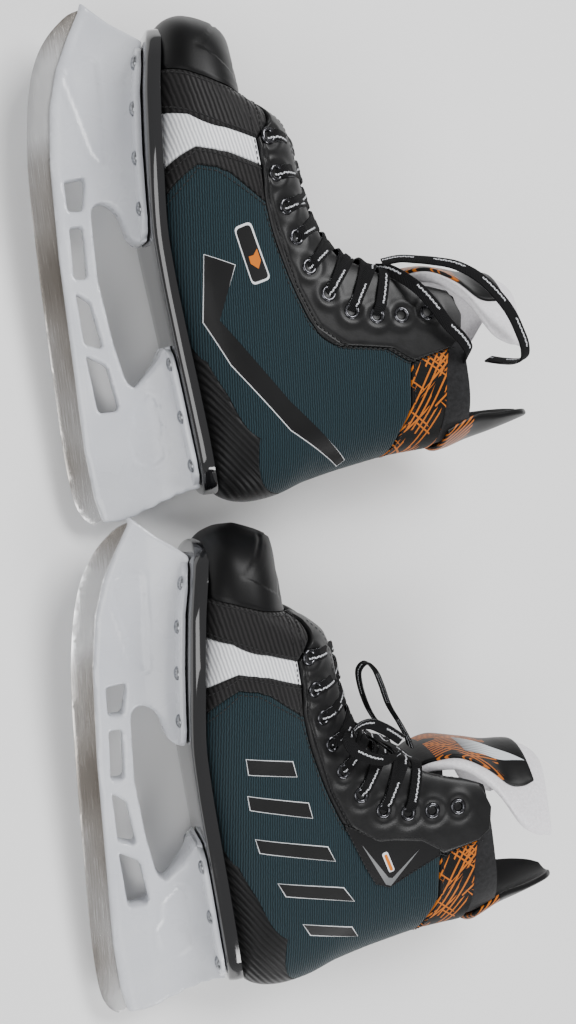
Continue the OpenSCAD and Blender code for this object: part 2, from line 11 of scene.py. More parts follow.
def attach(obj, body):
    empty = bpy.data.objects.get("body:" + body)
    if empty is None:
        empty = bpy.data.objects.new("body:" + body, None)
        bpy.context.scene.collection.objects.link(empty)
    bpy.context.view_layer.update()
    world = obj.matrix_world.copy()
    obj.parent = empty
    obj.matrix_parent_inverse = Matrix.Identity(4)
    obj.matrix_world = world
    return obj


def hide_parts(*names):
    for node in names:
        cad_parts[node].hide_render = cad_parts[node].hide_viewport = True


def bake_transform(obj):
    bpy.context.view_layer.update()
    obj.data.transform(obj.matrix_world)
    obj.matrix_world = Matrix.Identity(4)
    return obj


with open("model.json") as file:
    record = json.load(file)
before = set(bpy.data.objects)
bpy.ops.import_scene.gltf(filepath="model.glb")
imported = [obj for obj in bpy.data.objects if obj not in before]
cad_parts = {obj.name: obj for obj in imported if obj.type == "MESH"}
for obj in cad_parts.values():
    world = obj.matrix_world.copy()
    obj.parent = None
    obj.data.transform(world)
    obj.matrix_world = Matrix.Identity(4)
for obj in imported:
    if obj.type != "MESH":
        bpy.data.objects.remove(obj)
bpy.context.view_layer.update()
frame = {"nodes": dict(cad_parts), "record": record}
record = frame["record"]

# ---------------------------------------------------------------- where each skate lies
# Every skate has its own frame in millimetres: x to the toe, y to the side that lies uppermost,
# z from the ice to the leg. The runner mounts and the tongue hinges of the record give it.
SIDES = ("left", "right")
OUTER = {"left": 1, "right": -1}
mounts = {m["name"]: m for m in record["mounts"]}
joints = {j["name"]: j for j in record["behaviour"]["joints"]}
runner_base = 0.2


def skate_frame(side):
    mount = mounts[side + "_runner_edge"]
    x_way = Vector(mount["axis"]).normalized()
    y_way = Vector(joints[side + "_tongue_fold"]["axis"]).normalized()
    z_way = x_way.cross(y_way).normalized()
    turn = Matrix((x_way, y_way, z_way)).transposed()
    origin = Vector(mount["pos_m"]) - z_way * runner_base / 1000
    return np.array(turn), np.array(origin)


FRAMES = {side: skate_frame(side) for side in SIDES}


def to_world(points, side):
    turn, origin = FRAMES[side]
    return np.asarray(points, float) / 1000 @ turn.T + origin

# ---------------------------------------------------------------- camera
# A hand-held view from above, a little from the runners' side.
camera_data = bpy.data.cameras.new("camera")
camera = bpy.data.objects.new("camera", camera_data)
bpy.context.scene.collection.objects.link(camera)
bpy.context.scene.camera = camera
camera_data.sensor_fit = "VERTICAL"
camera_data.sensor_height = 36
camera_data.lens = 38.2
camera_data.clip_start = 0.01
camera_turn = (Matrix.Rotation(math.radians(-28.04), 4, "Y")
               @ Matrix.Rotation(math.radians(-2.48), 4, "X")
               @ Matrix.Rotation(math.radians(-6.28), 4, "Z"))
camera.matrix_world = Matrix.Translation((-0.3164, 0.0207, 0.6179)) @ camera_turn

# ---------------------------------------------------------------- laces, the free stretches
# Flat woven laces, black with a broken white tracer. On the left skate one end goes over the
# collar and the other round the tip of the tongue; on the right skate two loops of the bow stand.
LACE_W = 7.0
LACE_T = 1.6
TAIL_OVER_COLLAR = [(-13, 20, 192), (-15, 28, 197), (-21, 36, 203), (-29, 41.5, 210), (-39, 44, 217),
                    (-50, 45, 224), (-59, 45, 232), (-66, 42, 237), (-71, 35, 238), (-73, 29, 236.5),
                    (-74.5, 26, 230), (-75.5, 25, 220), (-76, 24.5, 208)]
TAIL_ROUND_TONGUE = [(-10, 25, 195), (-9, 27, 205), (-10.5, 31.5, 213), (-13, 37, 223), (-17, 42.5, 234),
                     (-25, 47, 245), (-36, 50.5, 254), (-47, 52, 261), (-58, 51.5, 266), (-67, 50, 269.5),
                     (-74, 44, 272), (-76, 33, 272), (-75, 20, 270), (-73, 8, 267)]
LOOP_STANDING = [(-6, 20, 194), (0, 21, 192), (9, 20, 188), (20, 17, 183), (32, 15, 180), (41, 13.5, 177),
                 (46, 13, 172), (42, 12, 167.5), (33, 11, 168), (22, 10, 171), (13, 9, 175), (6, 8, 180),
                 (1, 7, 185)]
LOOP_SIDE = [(0, 24, 187), (6, 29, 180), (12, 34, 172), (17, 38, 163), (17, 41.5, 154), (12, 42.5, 148),
             (5, 43, 151), (0, 42.5, 158), (-4, 40, 166), (-6, 37, 174), (-5, 33, 182)]
LACE_SECTION = [(-1, 0), (-0.93, 0.75), (-0.6, 1), (-0.2, 0.94), (0.2, 0.94), (0.6, 1), (0.93, 0.75),
                (1, 0), (0.93, -0.75), (0.6, -1), (0.2, -0.94), (-0.2, -0.94), (-0.6, -1), (-0.93, -0.75)]


def smooth_path(points, count):
    """A round curve through route points, evenly stepped."""
    p = np.asarray(points, float)
    ext = np.vstack([2 * p[0] - p[1], p, 2 * p[-1] - p[-2]])
    out = []
    for i in range(len(p) - 1):
        a, b, c, d = ext[i:i + 4]
        for t in np.linspace(0, 1, 24, endpoint=False):
            out.append(0.5 * (2 * b + (c - a) * t + (2 * a - 5 * b + 4 * c - d) * t * t
                              + (3 * b - a - 3 * c + d) * t ** 3))
    out.append(p[-1])
    out = np.array(out)
    s = np.concatenate([[0], np.cumsum(np.linalg.norm(np.diff(out, axis=0), axis=1))])
    even = np.linspace(0, s[-1], count)
    return np.stack([np.interp(even, s, out[:, k]) for k in range(3)], 1), s[-1]


def mesh_object(name, verts, faces, uv=None):
    mesh = bpy.data.meshes.new(name)
    mesh.from_pydata([tuple(v) for v in verts], [], faces)
    if uv is not None:
        layer = mesh.uv_layers.new(name="side")
        loop_verts = np.empty(len(mesh.loops), int)
        mesh.loops.foreach_get("vertex_index", loop_verts)
        layer.data.foreach_set("uv", np.asarray(uv, float)[loop_verts].ravel())
    mesh.update()
    obj = bpy.data.objects.new(name, mesh)
    bpy.context.scene.collection.objects.link(obj)
    face_out(obj)
    smooth(obj)
    return obj


def face_out(obj):
    bm = bmesh.new()
    bm.from_mesh(obj.data)
    bmesh.ops.recalc_face_normals(bm, faces=bm.faces)
    if bm.calc_volume(signed=True) < 0:
        bmesh.ops.reverse_faces(bm, faces=bm.faces)
    bm.to_mesh(obj.data)
    bm.free()


def smooth(obj, angle=38):
    obj.data.polygons.foreach_set("use_smooth", [True] * len(obj.data.polygons))
    sharp = math.radians(angle)
    bm = bmesh.new()
    bm.from_mesh(obj.data)
    for edge in bm.edges:
        edge.smooth = edge.calc_face_angle(0) < sharp
    bm.to_mesh(obj.data)
    bm.free()


def tube_faces(rings, k, start=0):
    """The walls and both ends of a tube, made of rings with k points each."""
    faces = [[start + i * k + j, start + i * k + (j + 1) % k, start + (i + 1) * k + (j + 1) % k,
              start + (i + 1) * k + j] for i in range(rings - 1) for j in range(k)]
    return faces + [[start + j for j in range(k)][::-1], [start + (rings - 1) * k + j for j in range(k)]]


def lace_mesh(name, routes, side, step=1.0):
    """Flat laces with rounded edges. The side map runs along the lace in u and across it in v."""
    verts, faces, uvs, paths = [], [], [], []
    k = len(LACE_SECTION)
    for points, across in routes:
        _, whole = smooth_path(points, 8)
        path, whole = smooth_path(points, max(int(whole / step), 8))
        paths.append(path)
        way = np.gradient(path, axis=0)
        way /= np.linalg.norm(way, axis=1, keepdims=True)
        wide = np.repeat(np.asarray(across, float)[None], len(path), 0)
        wide = wide - (wide * way).sum(1, keepdims=True) * way
        wide /= np.linalg.norm(wide, axis=1, keepdims=True)
        up = np.cross(way, wide)
        start = len(verts)
        dist = np.linspace(0, whole, len(path))
        for i in range(len(path)):
            for c, h in LACE_SECTION:
                verts.append(path[i] + wide[i] * LACE_W / 2 * c + up[i] * LACE_T / 2 * h)
                uvs.append((dist[i] / 10, 0.5 + c / 2 if h >= 0 else 2.5 + c / 2))
        faces += tube_faces(len(path), k, start)
    obj = mesh_object(name, to_world(np.array(verts), side), faces, np.array(uvs))
    return obj, paths


# Materials are built from a few plain calls on the node tree.
def plain_material(name, color, roughness, metallic=0.0, specular=0.5, coat=0.0, coat_rough=0.1,
                   sheen=0.0):
    material = bpy.data.materials.new(name)
    material.use_nodes = True
    shader = material.node_tree.nodes["Principled BSDF"]
    shader.inputs["Base Color"].default_value = (*color, 1)
    shader.inputs["Roughness"].default_value = roughness
    shader.inputs["Metallic"].default_value = metallic
    shader.inputs["Specular IOR Level"].default_value = specular
    shader.inputs["Coat Weight"].default_value = coat
    shader.inputs["Coat Roughness"].default_value = coat_rough
    shader.inputs["Sheen Weight"].default_value = sheen
    return material, material.node_tree, shader


def add(tree, kind, **values):
    node = tree.nodes.new(kind)
    for key, value in values.items():
        if key in node.inputs:
            node.inputs[key].default_value = value
        else:
            setattr(node, key, value)
    return node


def math_node(tree, operation, first, second=None):
    node = tree.nodes.new("ShaderNodeMath")
    node.operation = operation
    for socket, value in zip(node.inputs, (first, second)):
        if value is None:
            continue
        if isinstance(value, (int, float)):
            socket.default_value = value
        else:
            tree.links.new(value, socket)
    return node.outputs[0]


def ramp(tree, value, stops):
    node = tree.nodes.new("ShaderNodeValToRGB")
    elements = node.color_ramp.elements
    while len(elements) < len(stops):
        elements.new(0.5)
    for element, (place, color) in zip(elements, stops):
        element.position = place
        element.color = (*color, 1) if len(color) == 3 else color
    tree.links.new(value, node.inputs["Fac"])
    return node.outputs["Color"]


def tone(tree, shader, value, stops):
    tree.links.new(ramp(tree, value, stops), shader.inputs["Base Color"])


def bump(tree, shader, height, strength, distance=0.0005, before=None):
    node = add(tree, "ShaderNodeBump")
    node.inputs["Strength"].default_value = strength
    node.inputs["Distance"].default_value = distance
    tree.links.new(height, node.inputs["Height"])
    if before is not None:
        tree.links.new(before, node.inputs["Normal"])
    tree.links.new(node.outputs["Normal"], shader.inputs["Normal"])
    return node.outputs["Normal"]


def piece_map(tree, name="side"):
    """The map that lies on a piece, one unit to 100 mm on panels and to 10 mm along a lace."""
    return add(tree, "ShaderNodeUVMap", uv_map=name).outputs["UV"]


def split_map(tree, vector):
    parts = tree.nodes.new("ShaderNodeSeparateXYZ")
    tree.links.new(vector, parts.inputs[0])
    return parts.outputs[0], parts.outputs[1]


def lace_material():
    material, tree, shader = plain_material("lace_weave", (0.004, 0.004, 0.0045), 0.75, specular=0.15)
    u, v = split_map(tree, piece_map(tree))
    # the tracer is a zigzag of short white stitches near one edge
    zig = math_node(tree, "PINGPONG", math_node(tree, "MULTIPLY", u, 3.4), 0.5)
    centre = math_node(tree, "ADD", math_node(tree, "MULTIPLY", zig, 0.16), 0.62)
    off = math_node(tree, "ABSOLUTE", math_node(tree, "SUBTRACT", math_node(tree, "FRACT", v), centre))
    line = math_node(tree, "LESS_THAN", off, 0.065)
    stitch = math_node(tree, "FRACT", math_node(tree, "MULTIPLY", u, 6.8))
    gap = math_node(tree, "GREATER_THAN", stitch, 0.22)
    run = math_node(tree, "FRACT", math_node(tree, "MULTIPLY", u, 0.33))
    block = math_node(tree, "LESS_THAN", run, 0.62)
    tracer = math_node(tree, "MULTIPLY", math_node(tree, "MULTIPLY", line, gap), block)
    tone(tree, shader, tracer, [(0.0, (0.004, 0.004, 0.0045)), (1.0, (0.62, 0.63, 0.66))])
    chevron = math_node(tree, "ADD", math_node(tree, "MULTIPLY", u, 9.0),
                        math_node(tree, "MULTIPLY", math_node(tree, "PINGPONG", v, 0.5), 3.0))
    weave = math_node(tree, "SINE", math_node(tree, "MULTIPLY", chevron, 6.283))
    height = math_node(tree, "ADD", weave, math_node(tree, "MULTIPLY", tracer, 2.0))
    bump(tree, shader, height, 0.5, 0.0003)
    return material


LACE = lace_material()


def free_lace(name, side, points, across, body):
    obj, paths = lace_mesh(name, [(points, across)], side)
    obj.data.materials.append(LACE)
    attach(obj, body)
    return obj


collar_tail = free_lace("left_lace_over_collar", "left", TAIL_OVER_COLLAR, (1, 0.2, 0.6), "left_skate")
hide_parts("left_lace_bow")
free_lace("left_lace_round_tongue", "left", TAIL_ROUND_TONGUE, (0.4, -0.2, 1), "left_skate")
standing_loop = free_lace("right_lace_standing_loop", "right", LOOP_STANDING, (0, 1, 0.1), "right_skate")
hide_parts("right_lace_bow")
free_lace("right_lace_side_loop", "right", LOOP_SIDE, (0.6, 0, 0.8), "right_skate")

# ---------------------------------------------------------------- runner
# The blade: a 3 mm strip of stainless steel, hollow ground along its foot and polished.
STEEL_LOW = [(-142, 12), (-138, 7), (-127, 2.5), (-100, 0.3), (-60, 0), (0, 0.2), (50, 1.4), (78, 4),
             (100, 8.2), (116, 14), (128, 22), (138, 33), (141, 40)]
STEEL_HIGH = [(128, 40), (112, 31), (92, 23), (60, 19), (-120, 18), (-138, 19)]
RUNNER_T = 3.0
GROUND_BEVEL = 0.18
# millimetres of a panel to one unit of its map
MAP_SPAN = 100


def round_line(points, per=8):
    """A smooth line through outline points."""
    p = np.asarray(points, float)
    path, _ = smooth_path(np.c_[p, np.zeros(len(p))], per * len(p))
    return [tuple(q[:2]) for q in path]


def cut_sheet(loops, cell):
    """A flat sheet inside closed outlines, cut into cells, as points in two dimensions and faces."""
    bm = bmesh.new()
    for loop in loops:
        verts = [bm.verts.new((p[0], p[1], 0)) for p in loop]
        for a, b in zip(verts, verts[1:] + verts[:1]):
            bm.edges.new((a, b))
    bmesh.ops.triangle_fill(bm, use_beauty=True, use_dissolve=False, edges=bm.edges)
    flat = np.array([p for loop in loops for p in loop])
    for axis in (0, 1):
        for place in np.arange(flat[:, axis].min() + cell / 2, flat[:, axis].max(), cell):
            co = [0, 0, 0]
            co[axis] = place
            no = [0, 0, 0]
            no[axis] = 1
            bmesh.ops.bisect_plane(bm, geom=bm.verts[:] + bm.edges[:] + bm.faces[:], dist=1e-4,
                                   plane_co=co, plane_no=no)
    bm.verts.index_update()
    points = np.array([v.co[:2] for v in bm.verts])
    faces = [[v.index for v in f.verts] for f in bm.faces]
    rim = [[v.index for v in e.verts] for e in bm.edges if len(e.link_faces) == 1]
    bm.free()
    return points, faces, rim


def two_sided(faces, rim, n):
    """Faces of a sheet with n points a side: the face, its copy behind and the wall round the rim."""
    return faces + [[i + n for i in f][::-1] for f in faces] + [[a, b, b + n, a + n] for a, b in rim]


def noise(tree, scale, detail=3.0, roughness=0.5, vector=None, distortion=0.0):
    node = add(tree, "ShaderNodeTexNoise", Scale=scale, Detail=detail, Roughness=roughness,
               Distortion=distortion)
    if vector is None:
        vector = add(tree, "ShaderNodeTexCoord").outputs["Object"]
    tree.links.new(vector, node.inputs["Vector"])
    return node.outputs["Fac"]


def turned_map(tree, vector, angle=0.0, scale=(1, 1, 1), place=(0, 0, 0)):
    mapping = tree.nodes.new("ShaderNodeMapping")
    mapping.inputs["Location"].default_value = place
    mapping.inputs["Rotation"].default_value = (0, 0, math.radians(angle))
    mapping.inputs["Scale"].default_value = scale
    tree.links.new(vector, mapping.inputs["Vector"])
    return mapping.outputs["Vector"]


def uneven_polish(tree, shader, value, least, most):
    rough = add(tree, "ShaderNodeMapRange")
    tree.links.new(value, rough.inputs["Value"])
    rough.inputs["To Min"].default_value = least
    rough.inputs["To Max"].default_value = most
    tree.links.new(rough.outputs["Result"], shader.inputs["Roughness"])


def steel_material():
    material, tree, shader = plain_material("ground_steel", (0.6, 0.59, 0.57), 0.24, metallic=1.0)
    uv = piece_map(tree)
    grain = noise(tree, 3.0, 4.0, 0.6, turned_map(tree, uv, scale=(1.5, 140, 1)))
    # long soft patches of painted reflection and shade along the strip, dark brown-grey to bright
    cloud = turned_map(tree, uv, scale=(0.9, 0.5, 1), place=(0.35, 0, 0))
    reflection_patches = noise(tree, 1.3, 1.0, 0.4, cloud)
    mixed = math_node(tree, "ADD", math_node(tree, "MULTIPLY", reflection_patches, 0.85),
                      math_node(tree, "MULTIPLY", grain, 0.15))
    tone(tree, shader, mixed, [(0.36, (0.20, 0.175, 0.15)), (0.47, (0.42, 0.39, 0.36)),
                               (0.58, (0.86, 0.86, 0.87))])
    uneven_polish(tree, shader, grain, 0.14, 0.34)
    bump(tree, shader, grain, 0.12, 0.0002)
    return material


STEEL = steel_material()


def give(obj, material, side, node=None, body=None):
    obj.data.materials.clear()
    obj.data.materials.append(material)
    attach(obj, body or side + "_skate")
    if node:
        names = node if isinstance(node, (list, tuple)) else [node]
        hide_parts(*[side + "_" + n for n in names])
    return obj


def runner(side):
    outline = round_line(STEEL_LOW, 7)[:-1] + STEEL_LOW[-1:] + STEEL_HIGH
    points, faces, rim = cut_sheet([outline], 3.0)
    low_line = np.array(round_line(STEEL_LOW, 12))
    foot = np.interp(points[:, 0], low_line[:, 0], low_line[:, 1])
    height = points[:, 1] - foot
    half = np.full(len(points), RUNNER_T / 2)
    # the ground edge is broken by a fine bevel
    half -= GROUND_BEVEL * (height < 0.4)
    both = np.concatenate([np.c_[points[:, 0], half, points[:, 1]],
                           np.c_[points[:, 0], -half, points[:, 1]]])
    every = two_sided(faces, rim, len(points))
    obj = mesh_object(side + "_steel_runner", to_world(both, side), every, both[:, [0, 2]] / MAP_SPAN)
    smooth(obj, 20)
    give(obj, STEEL, side, "runner")


for side in SIDES:
    runner(side)

# ---------------------------------------------------------------- blade holder
# One glossy nylon moulding: a slotted rail for the steel, a windowed bridge and two towers that
# flare into flanges riveted to the outsole. Raised outlines frame a plain panel on each tower.
HOLDER_FRONT_TOP = [(120, 71), (112, 68.7), (90, 64.5), (60, 62), (35, 60.9), (13, 60.5)]
HOLDER_REAR_TOP = [(-45, 66), (-70, 68.3), (-95, 70.4), (-128, 73.5)]
HOLDER_EDGE = ([(-141, 17), (-127, 14), (-100, 12), (8, 12), (60, 14), (90, 18), (110, 24), (126, 32),
                (140, 40), (144, 41), (139, 47), (132, 55), (125, 65)] + HOLDER_FRONT_TOP
               + [(13.5, 56), (17, 52), (23, 50.3), (30, 48), (34.5, 45), (37, 41), (37.3, 37), (35, 33.5),
                  (30, 32.3), (20, 32), (-5, 31.5), (-40, 35.5), (-60, 39.3), (-64, 41), (-67, 44.5),
                  (-63, 49), (-55, 57), (-51, 60), (-47.5, 61.5)]
               + HOLDER_REAR_TOP
               + [(-129, 66), (-130.3, 63.5), (-130.3, 60), (-132.5, 57), (-134, 50), (-136.2, 47),
                  (-137.5, 40), (-139.8, 36), (-141.5, 26)])
WINDOWS = [
    [(50, 20), (51.5, 31), (47, 31.2), (34.5, 28.5), (33, 26.5), (33.5, 20.8), (35, 19.9)],
    [(25, 19.6), (25.3, 25.8), (23.5, 27.2), (-2, 26.2), (-4, 24.5), (-3.5, 19.6), (-2, 18.5)],
    [(-11, 18.4), (-16.3, 25.3), (-18.5, 26.2), (-41, 29.6), (-43, 28), (-40, 20.5), (-38.5, 19.4)],
    [(-46, 19.4), (-52, 29.3), (-54.3, 30.8), (-76.5, 34.2), (-79, 32.6), (-79, 23.5), (-77, 21.9)]]
FRONT_FRAME = [(111, 29), (116, 40), (113, 47), (60, 45), (55, 43), (63, 36), (104, 25.5)]
REAR_FRAME = [(-74, 47), (-70, 51), (-72, 55), (-92, 58), (-97, 56), (-108, 58), (-114, 50), (-110, 38),
              (-94, 36), (-90, 40), (-78, 41)]
FRONT_PLAN = [(119, 8), (117.5, 14), (114, 20), (104, 26), (85, 27.5), (50, 26.5), (25, 25), (17, 21),
              (13.5, 12)]
REAR_PLAN = [(-46, 10), (-48, 17), (-52, 21), (-60, 23), (-80, 24), (-110, 24.5), (-120, 22), (-125, 17),
             (-127, 10)]
FLANGE_T = 3.6
EDGE_ROUND = 1.3


def distance_to(points, loop, closed=True):
    loop = np.asarray(loop, float)
    best = np.full(len(points), 1e9)
    ends = np.roll(loop, -1, 0) if closed else loop[1:]
    for a, b in zip(loop if closed else loop[:-1], ends):
        way = b - a
        t = np.clip(((points - a) @ way) / max(way @ way, 1e-9), 0, 1)
        best = np.minimum(best, np.linalg.norm(points - (a + t[:, None] * way), axis=1))
    return best


def inside(points, loop):
    x, y = points[:, 0], points[:, 1]
    hit = np.zeros(len(points), bool)
    for (x0, y0), (x1, y1) in zip(loop, list(loop[1:]) + [loop[0]]):
        cross = ((y0 > y) != (y1 > y)) & (x < (x1 - x0) * (y - y0) / (y1 - y0 + 1e-12) + x0)
        hit ^= cross
    return hit


def rounded(loop, radius, steps=4):
    """The outline with its corners rounded."""
    p = np.asarray(loop, float)
    out = []
    for i in range(len(p)):
        a, b, c = p[i - 1], p[i], p[(i + 1) % len(p)]
        r = min(radius, 0.45 * np.linalg.norm(a - b), 0.45 * np.linalg.norm(c - b))
        start = b + (a - b) / np.linalg.norm(a - b) * r
        finish = b + (c - b) / np.linalg.norm(c - b) * r
        for t in np.linspace(0, 1, steps + 1):
            out.append(tuple((1 - t) ** 2 * start + 2 * t * (1 - t) * b + t * t * finish))
    return out


def read_off(table, x, column=1):
    """A column of a table at x. The first column of the table falls from the toe to the heel."""
    line = np.asarray(table, float)[::-1]
    return np.interp(x, line[:, 0], line[:, column])


def holder_material():
    material, tree, shader = plain_material("glossy_nylon", (0.60, 0.61, 0.65), 0.28, specular=0.5,
                                            coat=0.35, coat_rough=0.12)
    shader.inputs["Subsurface Weight"].default_value = 0.08
    shader.inputs["Subsurface Radius"].default_value = (0.004, 0.004, 0.004)
    cloud = noise(tree, 22.0, 3.0)
    tone(tree, shader, cloud, [(0.3, (0.55, 0.565, 0.61)), (0.7, (0.63, 0.645, 0.68))])
    fine = noise(tree, 900.0, 2.0)
    flow = noise(tree, 60.0, 2.0)
    uneven_polish(tree, shader, flow, 0.2, 0.36)
    bump(tree, shader, fine, 0.06, 0.0001)
    return material


NYLON = holder_material()


def flange_mesh(line, plan, drop=FLANGE_T):
    """A rounded flange plate under the outsole, swept along the sole line."""
    xs = np.linspace(plan[-1][0], plan[0][0], 60)
    shape = [(0, 0), (0.9, 0), (0.985, -0.12), (1, -0.5), (0.985, -0.88), (0.95, -1), (0, -1)]
    shape = shape + [(-a, b) for a, b in shape[::-1][1:-1]]
    verts = [(x, c * h, z + d * drop) for x, h, z in zip(xs, read_off(plan, xs), read_off(line, xs))
             for c, d in shape]
    return np.array(verts), tube_faces(len(xs), len(shape))


def holder(side):
    edge = rounded(HOLDER_EDGE, 1.5, 2)
    windows = [rounded(w, 1.6, 2) for w in WINDOWS]
    points, faces, rim = cut_sheet([edge] + windows, 1.6)
    x, z = points[:, 0], points[:, 1]
    roof = np.where(x > 0, read_off(HOLDER_FRONT_TOP, x), read_off(HOLDER_REAR_TOP, x))
    # thin at the steel, then flaring into the flange
    up = np.clip((z - 34) / (roof - 34), 0, 1)
    half = 4.6 + 1.2 * np.clip((z - 12) / 20, 0, 1) + 9.5 * up ** 2.6
    border = distance_to(points, edge)
    for w in windows:
        border = np.minimum(border, distance_to(points, w))
    s = np.clip(border / EDGE_ROUND, 0, 1)
    half = half - 1.0 * (1 - np.sqrt(1 - (1 - s) ** 2))
    # rail lip above the steel
    rail = np.interp(x, [-141, -100, 8, 60, 90, 110, 126, 140], [17, 12, 12, 14, 18, 24, 32, 40])
    half += 0.45 * np.exp(-((z - rail - 3.2) / 1.1) ** 2)
    for outline in (FRONT_FRAME, REAR_FRAME):
        line = distance_to(points, rounded(outline, 3, 4))
        within = inside(points, outline)
        half = half - 0.5 * within * np.clip(line / 1.5, 0, 1) + 0.55 * np.exp(-(line / 0.9) ** 2)
    both = np.concatenate([np.c_[x, half, z], np.c_[x, -half, z]])
    every = two_sided(faces, rim, len(points))
    for line, plan in ((HOLDER_FRONT_TOP, FRONT_PLAN), (HOLDER_REAR_TOP, REAR_PLAN)):
        verts, more = flange_mesh(line, plan)
        every += [[i + len(both) for i in f] for f in more]
        both = np.concatenate([both, verts])
    obj = mesh_object(side + "_blade_holder", to_world(both, side), every, both[:, [0, 2]] / MAP_SPAN)
    smooth(obj, 50)
    give(obj, NYLON, side, "holder")


for side in SIDES:
    holder(side)

# ---------------------------------------------------------------- rivets and runner bolts
# Domed steel rivets close through the flanges and the outsole; the two bolts that hold the
# steel sit inside the towers.
RIVET_X = (107, 83, 57, 30, -56, -86, -114)
RIVET_PROFILE = [(0.05, -2.1), (1.2, -2.0), (2.4, -1.7), (3.4, -1.1), (3.9, -0.4), (4.0, 0.0)]


def turned(name, profile, steps, places, side, closed=False):
    """A turned part: radius and height pairs spun round an axis, copied to each place, which is a
    point and a way for the axis. A closed profile makes a ring, an open one gets two end faces."""
    verts, faces = [], []
    k = len(profile)
    for spot, way in places:
        way = np.asarray(way, float) / np.linalg.norm(way)
        a = np.cross(way, (1, 0, 0) if abs(way[0]) < 0.8 else (0, 1, 0))
        a /= np.linalg.norm(a)
        b = np.cross(way, a)
        start = len(verts)
        for i in range(steps):
            angle = 2 * math.pi * i / steps
            ray = a * math.cos(angle) + b * math.sin(angle)
            verts += [np.asarray(spot) + ray * r + way * h for r, h in profile]
            m = (i + 1) % steps
            for j in range(k if closed else k - 1):
                n = (j + 1) % k
                faces.append([start + i * k + j, start + m * k + j, start + m * k + n, start + i * k + n])
        if not closed:
            faces.append([start + i * k for i in range(steps)])
            faces.append([start + i * k + k - 1 for i in range(steps)][::-1])
    return mesh_object(name, to_world(np.array(verts), side), faces)


def scratched_metal(name, color, rough, grain, stops, strength):
    material, tree, shader = plain_material(name, color, rough, metallic=1.0)
    scratch = noise(tree, grain, 3.0)
    tone(tree, shader, scratch, stops)
    bump(tree, shader, scratch, strength, 0.0001)
    return material


def dress(node, material):
    """Gives a CAD solid that stays as it is its own finish."""
    slots = frame["nodes"][node].data.materials
    slots.clear()
    slots.append(material)


RIVET = scratched_metal("rivet_steel", (0.66, 0.67, 0.69), 0.3, 700,
                        [(0.35, (0.16, 0.165, 0.175)), (0.6, (0.34, 0.35, 0.37))], 0.2)
for side in SIDES:
    places = []
    for x in RIVET_X:
        roof = HOLDER_FRONT_TOP if x > 0 else HOLDER_REAR_TOP
        rise = read_off(roof, x + 1) - read_off(roof, x - 1)
        places += [((x, y, read_off(roof, x) - FLANGE_T), (-rise / 2, 0, 1)) for y in (-21, 21)]
    rivets = turned(side + "_rivet_heads", RIVET_PROFILE, 20, places, side)
    give(rivets, RIVET, side, "holder_rivets")
    dress(side + "_runner_bolts", RIVET)

# ---------------------------------------------------------------- outsole
# A glossy black moulded plate glued and riveted under the boot, turned up at its rim.
# Each row holds x, height and half width; the section goes from the middle out, round and back.
OUTSOLE = [(127.5, 81.2, 8), (126.5, 80.7, 14), (124, 79.6, 22), (118, 77.2, 29), (108, 74.8, 35),
           (90, 71.5, 38.5), (60, 69, 39), (35, 67.9, 35), (15, 67.5, 31), (-15, 70, 28), (-45, 73, 27),
           (-70, 75.3, 28), (-95, 77.4, 29), (-115, 79.2, 27), (-127, 81, 20), (-131, 82.2, 13),
           (-133, 83, 7)]
SOLE_SECTION = [(0, -2.1), (0.5, -2.1), (0.8, -2.1), (0.93, -1.9), (0.965, -1.0), (0.985, 1.2),
                (1.0, 1.9), (1.018, 1.5), (1.02, -2.2), (1.0, -4.0), (0.97, -5.6), (0.93, -6.3),
                (0.88, -6.5), (0.5, -6.5), (0, -6.5)]


def gloss_material():
    material, tree, shader = plain_material("gloss_black", (0.008, 0.008, 0.009), 0.09, specular=0.6,
                                            coat=0.6, coat_rough=0.05)
    bump(tree, shader, noise(tree, 45, 2.0), 0.25, 0.0006)
    return material


GLOSS = gloss_material()


def eased(count, gather=0.75):
    t = np.linspace(0, 1, count + 1)
    return t - gather / (2 * math.pi) * np.sin(2 * math.pi * t)


def outsole(side):
    heel, toe = OUTSOLE[-1][0], OUTSOLE[0][0]
    xs = heel + (toe - heel) * eased(90, 0.85)
    mid, half = read_off(OUTSOLE, xs), read_off(OUTSOLE, xs, 2)
    kernel = np.array([0.25, 0.5, 0.25])
    for _ in range(3):
        half[1:-1] = np.convolve(half, kernel, "valid")
        mid[1:-1] = np.convolve(mid, kernel, "valid")
    shape = SOLE_SECTION + [(-a, b) for a, b in SOLE_SECTION[::-1][1:-1]]
    verts = [(x, c * h, z + d) for x, h, z in zip(xs, half, mid) for c, d in shape]
    faces = tube_faces(len(xs), len(shape))
    obj = mesh_object(side + "_outsole_shell", to_world(np.array(verts), side), faces)
    smooth(obj, 45)
    give(obj, GLOSS, side, "outsole")


for side in SIDES:
    outsole(side)

